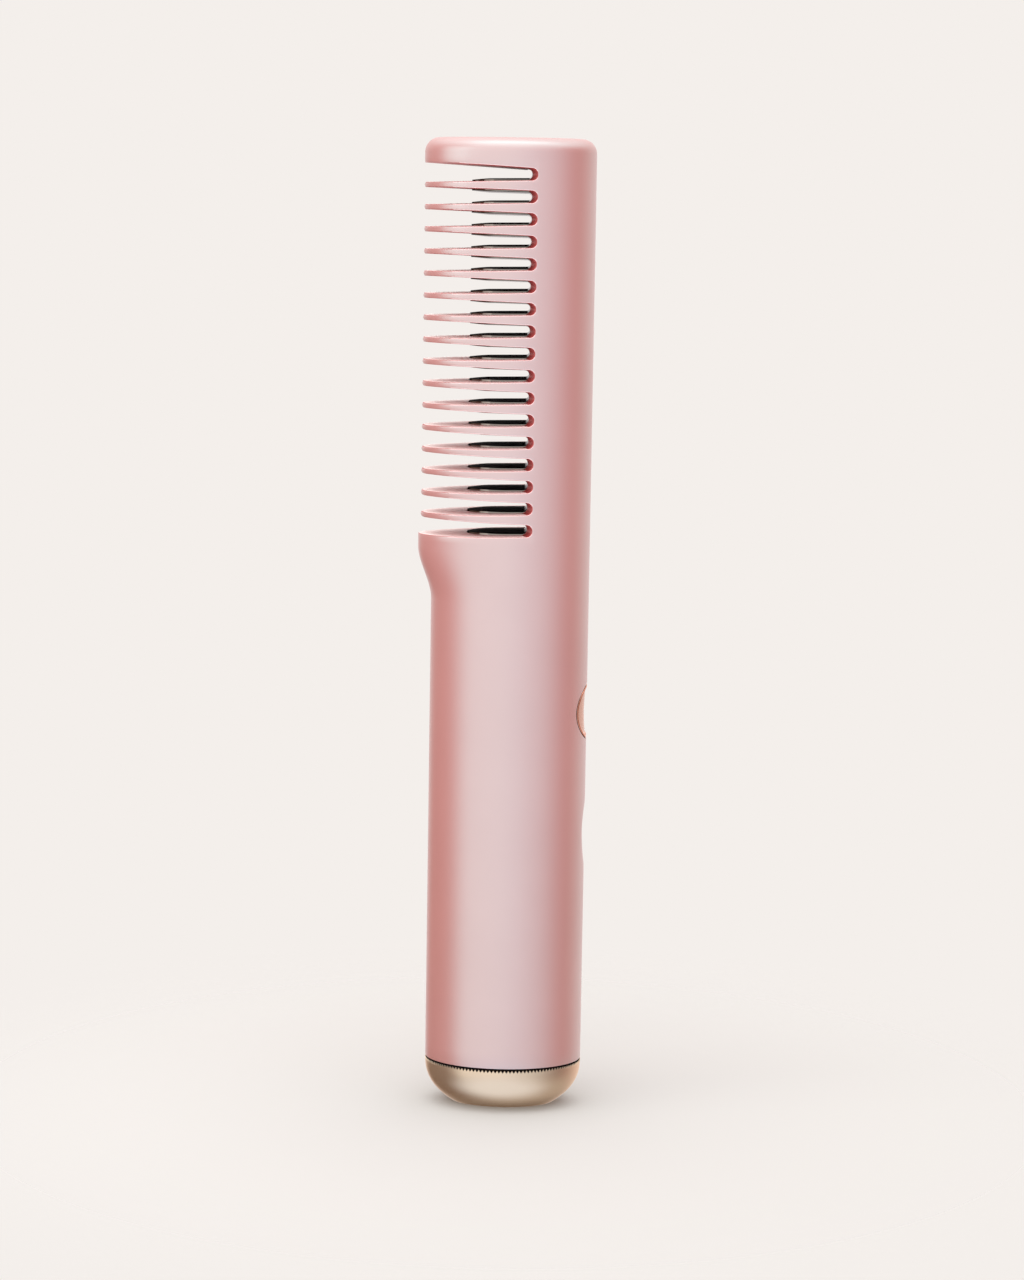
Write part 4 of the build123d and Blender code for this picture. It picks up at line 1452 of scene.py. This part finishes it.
@dataclass
class ButtonSet:
    """The dished button and its polished trim ring, both flush with the oval of the handle.

    Attributes:
        outline: Outline of the body seen from above.
        height: Height of the button's centre.
        button_radius: Radius of the button.
        ring_inner: Inner radius of the ring.
        ring_outer: Outer radius of the ring.
        ring_gap: Width of the shadow gap round the ring, whose faces are painted black as painted shade.
        gap_depth: Depth of the gap.
        bead: Height of the ring's round bead.
        bead_proud: How far the bead stands out from the oval where the spine falls away.
        bead_sunk: How far it lies below the spine where that is at its widest.
        ring_flange: Radius of the ring's hidden flange.
        ring_back: X of the ring's back.
        ring_seat: X of the flange's outer face.
        button_back: X of the button's back.
        button_flange: X of the outer face of the button's flange.
        flange_radius: Radius of the button's hidden flange.
        inset: How far the button lies below the oval.
        dish: Depth of the dish.
        dish_radius: Radius of the dish.
        rim: Width of the button's polished, rounded rim.
        rim_fall: Height of the rim, as a share of its width.
        columns: Number of columns round the pieces.
    """

    outline: Outline = field(default_factory=Outline)
    height: float = 83.0
    button_radius: float = 5.2
    ring_inner: float = 5.35
    ring_outer: float = 5.85
    ring_gap: float = 0.15
    gap_depth: float = 0.3
    bead: float = 0.16
    bead_proud: float = 0.14
    bead_sunk: float = 0.03
    ring_flange: float = 6.5
    ring_back: float = 11.7
    ring_seat: float = 12.4
    button_back: float = 10.8
    button_flange: float = 11.6
    flange_radius: float = 6.2
    inset: float = 0.35
    dish: float = 0.25
    dish_radius: float = 36.0
    rim: float = 0.55
    rim_fall: float = 0.7
    columns: int = 144

    def row(self, radius: float, reach: Reach) -> list[Point]:
        """Return a round row on the spine.

        Args:
            radius: Radius of the row.
            reach: Gives X from the distance across and the distance up.

        Returns:
            The row's places.
        """
        made = []
        for column in range(self.columns):
            turn = 2 * math.pi * column / self.columns
            across, up = radius * math.sin(turn), radius * math.cos(turn)
            made.append((reach(across, up), across, self.height + up))
        return made

    def level(self, x: float) -> Reach:
        """Return a reach that stays at one X."""
        return lambda across, up: x

    def beaded(self, drop: float) -> Reach:
        """Return a reach on the ring's round bead, which sinks where the spine is at its widest."""
        proud, limit = self.bead_proud - drop, self.outline.half_width - self.bead_sunk - drop
        return lambda across, up: min(self.outline.face_x(across) + proud, limit)

    def dished(self, drop: float) -> Reach:
        """Make a reach that follows the button's dish.

        Args:
            drop: How far below the dish it stays.

        Returns:
            The reach.
        """
        centre = self.outline.half_width - self.inset - self.dish + self.dish_radius

        def reach(across: float, up: float) -> float:
            """Return X on the dished face."""
            hollow = centre - math.sqrt(self.dish_radius**2 - across**2 - up**2)
            return min(self.outline.face_x(across, self.inset), hollow) - drop

        return reach

    def ring(self) -> Skin:
        """Build the trim ring.

        Returns:
            The closed skin.
        """
        half = (self.ring_outer - self.ring_gap - self.ring_inner) / 2
        middle = self.ring_inner + half
        back, seat, gap = self.level(self.ring_back), self.level(self.ring_seat), self.beaded(self.gap_depth)
        turns = [math.pi * step / 12 for step in range(13)]
        bead = [(middle - half * math.cos(turn), self.beaded(self.bead * (1 - math.sin(turn)))) for turn in turns]
        hidden = [(self.ring_outer, seat), (self.ring_flange, seat), (self.ring_flange, back), (self.ring_inner, back)]
        skin = Skin()
        skin.start(self.row(self.ring_inner, back), closed=True)
        # The gap's two rows take the second finish, black, as painted shade in the gap.
        for side, rows in ((0, bead), (1, [(middle + half, gap), (self.ring_outer, gap)]), (0, hidden)):
            skin.grow_rows([self.row(*row) for row in rows], side)
        skin.weld()
        face_outwards(skin.mesh)
        return skin

    def button(self) -> Skin:
        """Build the button.

        Returns:
            The closed skin.
        """
        face, seat, back = self.dished(0.0), self.level(self.button_flange), self.level(self.button_back)
        radius, rim = self.button_radius, self.rim
        dish = [(radius * part, face) for part in (0.25, 0.42, 0.58, 0.72, 0.84, 1 - rim / radius)]
        turns = [math.radians(90 * step / 6) for step in range(1, 7)]
        edge = [(radius - rim * (1 - math.sin(turn)), self.dished(self.rim_fall * rim * (1 - math.cos(turn))))
                for turn in turns]
        edge += [(radius, seat), (self.flange_radius, seat), (self.flange_radius, back)]
        skin = Skin()
        skin.start(self.row(0.4, face), closed=True)
        skin.cap()
        # The rim and its hidden flange take the lighter rose gold, a painted highlight on the polished rim.
        for side, rows in ((0, dish), (1, edge)):
            skin.grow_rows([self.row(*row) for row in rows], side)
        skin.cap()
        face_outwards(skin.mesh)
        return skin

    def build(self, wardrobe: Wardrobe) -> None:
        """Build the ring and the button and dress them.

        Args:
            wardrobe: The finishes.
        """
        ring = self.ring().piece("trim_ring", smooth_angle=50)
        # The ring's gap is painted black as painted shade.
        wardrobe.dress(ring, "rose_gold", "black_plastic")
        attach(ring, "body")
        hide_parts("button_ring")
        button = self.button().piece("dished_button", smooth_angle=40)
        # The second finish paints a highlight on the button's polished rim.
        wardrobe.dress(button, "copper_satin", "polished_rim_painted_highlight")
        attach(button, "button")
        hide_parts("power_button")
        log.info("button and trim ring")


@dataclass
class InnerWorks:
    """Everything the frame already holds in its right shape: it gets its finish and softened edges.

    Attributes:
        replaced: Nodes that other classes stand for.
        softened: Radius of the softened edges, by node.
        least_angle: Edges sharper than this many degrees are softened.
    """

    replaced: frozenset[str] = frozenset({"front_shell", "rear_shell", "heating_comb", "base_cap", "button_ring",
                                          "power_button"})
    softened: dict[str, float] = field(default_factory=lambda: {
        "ptc_heaters": 0.15,
        "heater_carrier": 0.12,
        "control_chip": 0.1,
        "power_transistor": 0.12,
        "board_connector": 0.12,
        "indicator_leds": 0.08,
        "power_switch": 0.1,
        "battery_cradle": 0.12,
        "end_frame": 0.1,
        "usb_socket": 0.08,
    })
    least_angle: float = 50.0

    def soften(self, piece: bpy.types.Object, radius: float) -> None:
        """Soften the sharp edges of a piece.

        Args:
            piece: The piece.
            radius: Radius in millimetres.
        """
        weld = piece.modifiers.new("weld", "WELD")
        weld.merge_threshold = WELD * MM
        bevel = piece.modifiers.new("soften", "BEVEL")
        bevel.width = radius * MM
        bevel.segments = 2
        bevel.limit_method = "ANGLE"
        bevel.angle_limit = math.radians(self.least_angle)
        bevel.harden_normals = False

    def build(self, wardrobe: Wardrobe) -> None:
        """Dress the frame's own nodes.

        Args:
            wardrobe: The finishes.
        """
        for part in frame["record"]["subparts"]:
            name = part["node"]
            if name in self.replaced:
                continue
            piece = frame["nodes"][name]
            wardrobe.dress(piece, part["material_slot"])
            if name in self.softened:
                self.soften(piece, self.softened[name])
            log.info("dressed %s", name)


@dataclass(frozen=True)
class Softbox:
    """A soft rectangular light that faces the object.

    Attributes:
        name: Name of the light.
        azimuth: Direction of the light, 0 in front and 90 on the spine's side, in degrees.
        elevation: Direction above the floor, in degrees.
        distance: Distance in millimetres.
        width: Width in millimetres.
        height: Height in millimetres.
        power: Power in watts.
        tone: Colour of the light.
        aim_height: Height of the point that it faces.
    """

    name: str
    azimuth: float
    elevation: float
    distance: float
    width: float
    height: float
    power: float
    tone: Colour = (1.0, 0.99, 0.98)
    aim_height: float = 100.0

    def hang(self) -> None:
        """Make the light and hang it, turned to the middle of the object."""
        data = bpy.data.lights.new(self.name, "AREA")
        data.shape = "RECTANGLE"
        data.size, data.size_y = self.width * MM, self.height * MM
        data.energy = self.power
        data.color = self.tone
        made = put(self.name, data)
        turn, rise = math.radians(self.azimuth), math.radians(self.elevation)
        away = Vector((math.sin(turn) * math.cos(rise), -math.cos(turn) * math.cos(rise), math.sin(rise)))
        made.rotation_mode = "QUATERNION"
        made.location = (Vector((0, 0, self.aim_height)) + away * self.distance) * MM
        made.rotation_quaternion = (-away).to_track_quat("-Z", "Y")


@dataclass(frozen=True)
class Patch:
    """A soft patch of the room round the object.

    Attributes:
        name: What the patch stands for.
        way: Direction of its middle.
        outer: Distance from that direction, on a ball of radius 1, at which the patch sets in.
        inner: Distance within which it has its full colour.
        tone: Its colour.
        squeeze: Scale of the distances along X. Below 1 the patch is longer along X.
    """

    name: str
    way: Point
    outer: float
    inner: float
    tone: Colour
    squeeze: float = 1.0

    def lay(self, graph: Graph, place: Socket, under: Socket) -> Socket:
        """Lay the patch over the room's colour.

        Args:
            graph: The world's node tree.
            place: Direction of the ray.
            under: The room's colour so far.

        Returns:
            The colour with the patch on it.
        """
        scale = Vector((self.squeeze, 1.0, 1.0))
        narrowed = graph.reckon("VectorMath", "MULTIPLY", place, scale)
        away = graph.reckon("VectorMath", "DISTANCE", narrowed.outputs["Vector"], Vector(self.way) * scale)
        share = graph.spread(away.outputs["Value"], (self.outer, self.inner), smooth=True)
        return graph.mix(share, under, (*self.tone, 1.0), self.name)


@dataclass
class Studio:
    """The pale floor and surroundings, the soft lights and the camera.

    Attributes:
        backdrop: Colour of the floor and of everything behind it.
        floor_colour: Colour of the floor where it takes the shadow.
        distance: Distance of the camera from the point it looks at.
        pitch: How far the camera looks down, in degrees.
        yaw: How far the camera stands towards the spine, in degrees.
        roll: How far the picture is turned, in degrees.
        aim_height: Height of the point that the camera looks at.
        aim_side: Distance of that point to the right of the middle.
        picture_height: Height of the picture in pixels.
        focal: Focal length in those pixels.
        sensor: Width of the camera's sensor.
        near_floor: Radius within which the floor takes the shadow in full.
        far_floor: Radius beyond which the floor is plain.
        floor_radius: Radius of the floor's sheet.
        walls: Room round the object: azimuth as a share of a full turn from behind, and colour.
        patches: Patches of other colours on the room, in the order in which they are laid.
        level: Strength of the room's light.
        softboxes: The lamps.
    """

    backdrop: Paint = linear(244, 239, 235)
    floor_colour: Paint = linear(193, 191, 188)
    distance: float = 676.7
    pitch: float = 7.383
    yaw: float = 1.5
    roll: float = 0.92
    aim_height: float = 97.35
    aim_side: float = 0.58
    picture_height: float = 1280.0
    focal: float = 3280.0
    sensor: float = 36.0
    near_floor: float = 60.0
    far_floor: float = 150.0
    floor_radius: float = 180.0
    walls: tuple[tuple[float, Colour], ...] = (
        (0.0, (0.8, 0.76, 0.75)), (0.12, (0.76, 0.64, 0.62)), (0.22, (0.3, 0.17, 0.14)), (0.28, (0.16, 0.05, 0.03)),
        (0.34, (0.52, 0.5, 0.48)), (0.40, (1.55, 1.57, 1.6)), (0.45, (1.15, 1.18, 1.22)), (0.53, (0.83, 0.86, 0.9)),
        (0.62, (0.62, 0.64, 0.68)), (0.70, (0.16, 0.06, 0.04)), (0.77, (0.36, 0.21, 0.18)), (0.87, (0.95, 0.78, 0.75)),
        (1.0, (0.8, 0.76, 0.75)))
    patches: tuple[Patch, ...] = (
        Patch("ground", (0.0, 0.0, -1.0), 1.22, 0.7, (0.49, 0.43, 0.39)),
        Patch("shade_low_on_teeth_side", (-0.75, 0.22, -0.62), 0.87, 0.45, (0.17, 0.1, 0.07)),
        Patch("sheen_of_floor_in_front", (-0.05, -0.5, -0.86), 0.93, 0.32, (0.98, 1.07, 1.22)),
        Patch("dark_floor_behind", (0.0, 0.65, -0.76), 0.52, 0.0, (0.12, 0.08, 0.05)),
        Patch("ceiling", (0.0, 0.0, 1.0), 1.14, 0.63, (1.1, 1.1, 1.1)),
        Patch("bright_strip_above", (0.0, -0.1, 0.99), 0.36, 0.12, (1.9, 1.9, 1.9), squeeze=0.35),
    )
    level: float = 1.55
    softboxes: tuple[Softbox, ...] = (
        Softbox("overhead", azimuth=-20, elevation=72, distance=900, width=700, height=700, power=0.9),
        Softbox("flank", azimuth=-66, elevation=24, distance=340, width=160, height=240, power=0.18),
    )

    def camera(self) -> None:
        """Set the camera up in front of the object, a little above it."""
        data = bpy.data.cameras.new("camera")
        data.sensor_width = self.sensor
        data.lens = self.sensor * self.focal / self.picture_height
        data.clip_start, data.clip_end = 0.01, 100
        made = put("camera", data)
        pitch, yaw = math.radians(self.pitch), math.radians(self.yaw)
        towards = Vector((-math.sin(yaw) * math.cos(pitch), math.cos(yaw) * math.cos(pitch), -math.sin(pitch)))
        right = Vector((math.cos(yaw), math.sin(yaw), 0))
        aim = Vector((0, 0, self.aim_height)) + right * self.aim_side
        turn = towards.to_track_quat("-Z", "Y").to_matrix().to_4x4()
        spin = Matrix.Rotation(math.radians(self.roll), 4, "Z")
        made.matrix_world = Matrix.Translation((aim - towards * self.distance) * MM) @ turn @ spin
        bpy.context.scene.camera = made

    def floor_material(self) -> bpy.types.Material:
        """Make the floor's material: lit where it takes the shadow, and clear farther out.

        Returns:
            The material.
        """
        material = bpy.data.materials.new("studio_floor")
        material.use_nodes = True
        graph = Graph(material.node_tree)
        lit = graph.nodes["Principled BSDF"]
        graph.feed(lit, {"Base Color": self.floor_colour, "Roughness": 0.9, "Specular IOR Level": 0.0})
        place = graph.add("TexCoord", {}).outputs["Object"]
        away = graph.reckon("VectorMath", "LENGTH", place).outputs["Value"]
        share = graph.spread(away, (self.near_floor * MM, self.far_floor * MM), smooth=True)
        clear = graph.add("BsdfTransparent", {})
        graph.blend_shaders(share, lit.outputs["BSDF"], clear.outputs["BSDF"], "Material Output")
        return material

    def floor(self) -> None:
        """Lay the floor, a round sheet that runs out into the backdrop."""
        mesh = bmesh.new()
        bmesh.ops.create_circle(mesh, cap_ends=True, segments=96, radius=self.floor_radius * MM)
        made = put("floor", settle(mesh, "floor"))
        made.data.materials.append(self.floor_material())
        made.visible_glossy = False

    def surroundings(self) -> None:
        """Set the world: the backdrop's colour to the camera, and a room with soft bright walls to the object."""
        world = bpy.data.worlds.new("studio")
        bpy.context.scene.world = world
        world.use_nodes = True
        graph = Graph(world.node_tree)
        place = graph.add("TexCoord", {}).outputs["Generated"]
        parts = graph.add("SeparateXYZ", {"Vector": place})
        depth = graph.reckon("Math", "MULTIPLY", parts.outputs["Y"], -1.0)
        turn = graph.reckon("Math", "ARCTAN2", parts.outputs["X"], depth.outputs["Value"])
        room = graph.add("ValToRGB", {"Fac": graph.spread(turn.outputs["Value"], (-math.pi, math.pi))})
        room.color_ramp.interpolation = "B_SPLINE"
        for position, _ in self.walls[1:-1]:
            room.color_ramp.elements.new(position)
        for element, (position, tone) in zip(room.color_ramp.elements, self.walls):
            element.position = position
            element.color = (*tone, 1.0)
        colour = room.outputs["Color"]
        for patch in self.patches:
            colour = patch.lay(graph, place, colour)
        light = graph.nodes["Background"]
        graph.feed(light, {"Color": colour, "Strength": self.level})
        seen = graph.add("Background", {"Color": self.backdrop, "Strength": 1.0})
        path = graph.add("LightPath", {})
        graph.blend_shaders(path.outputs["Is Camera Ray"], light.outputs["Background"], seen.outputs["Background"],
                            "World Output")

    def build(self) -> None:
        """Set the whole studio up."""
        bpy.context.scene.view_settings.view_transform = "Standard"
        self.camera()
        self.floor()
        self.surroundings()
        for softbox in self.softboxes:
            softbox.hang()
        log.info("studio: floor, %d softboxes and camera", len(self.softboxes))


def main() -> None:
    """Build every sub-assembly in order."""
    logging.basicConfig(level=logging.INFO, format="%(name)s: %(message)s")
    wardrobe = Wardrobe(FINISHES)
    Studio().build()
    Casing().build(wardrobe)
    HeatingComb().build(wardrobe)
    ButtonSet().build(wardrobe)
    BaseCap().build(wardrobe)
    InnerWorks().build(wardrobe)


if __name__ == "__main__":
    main()
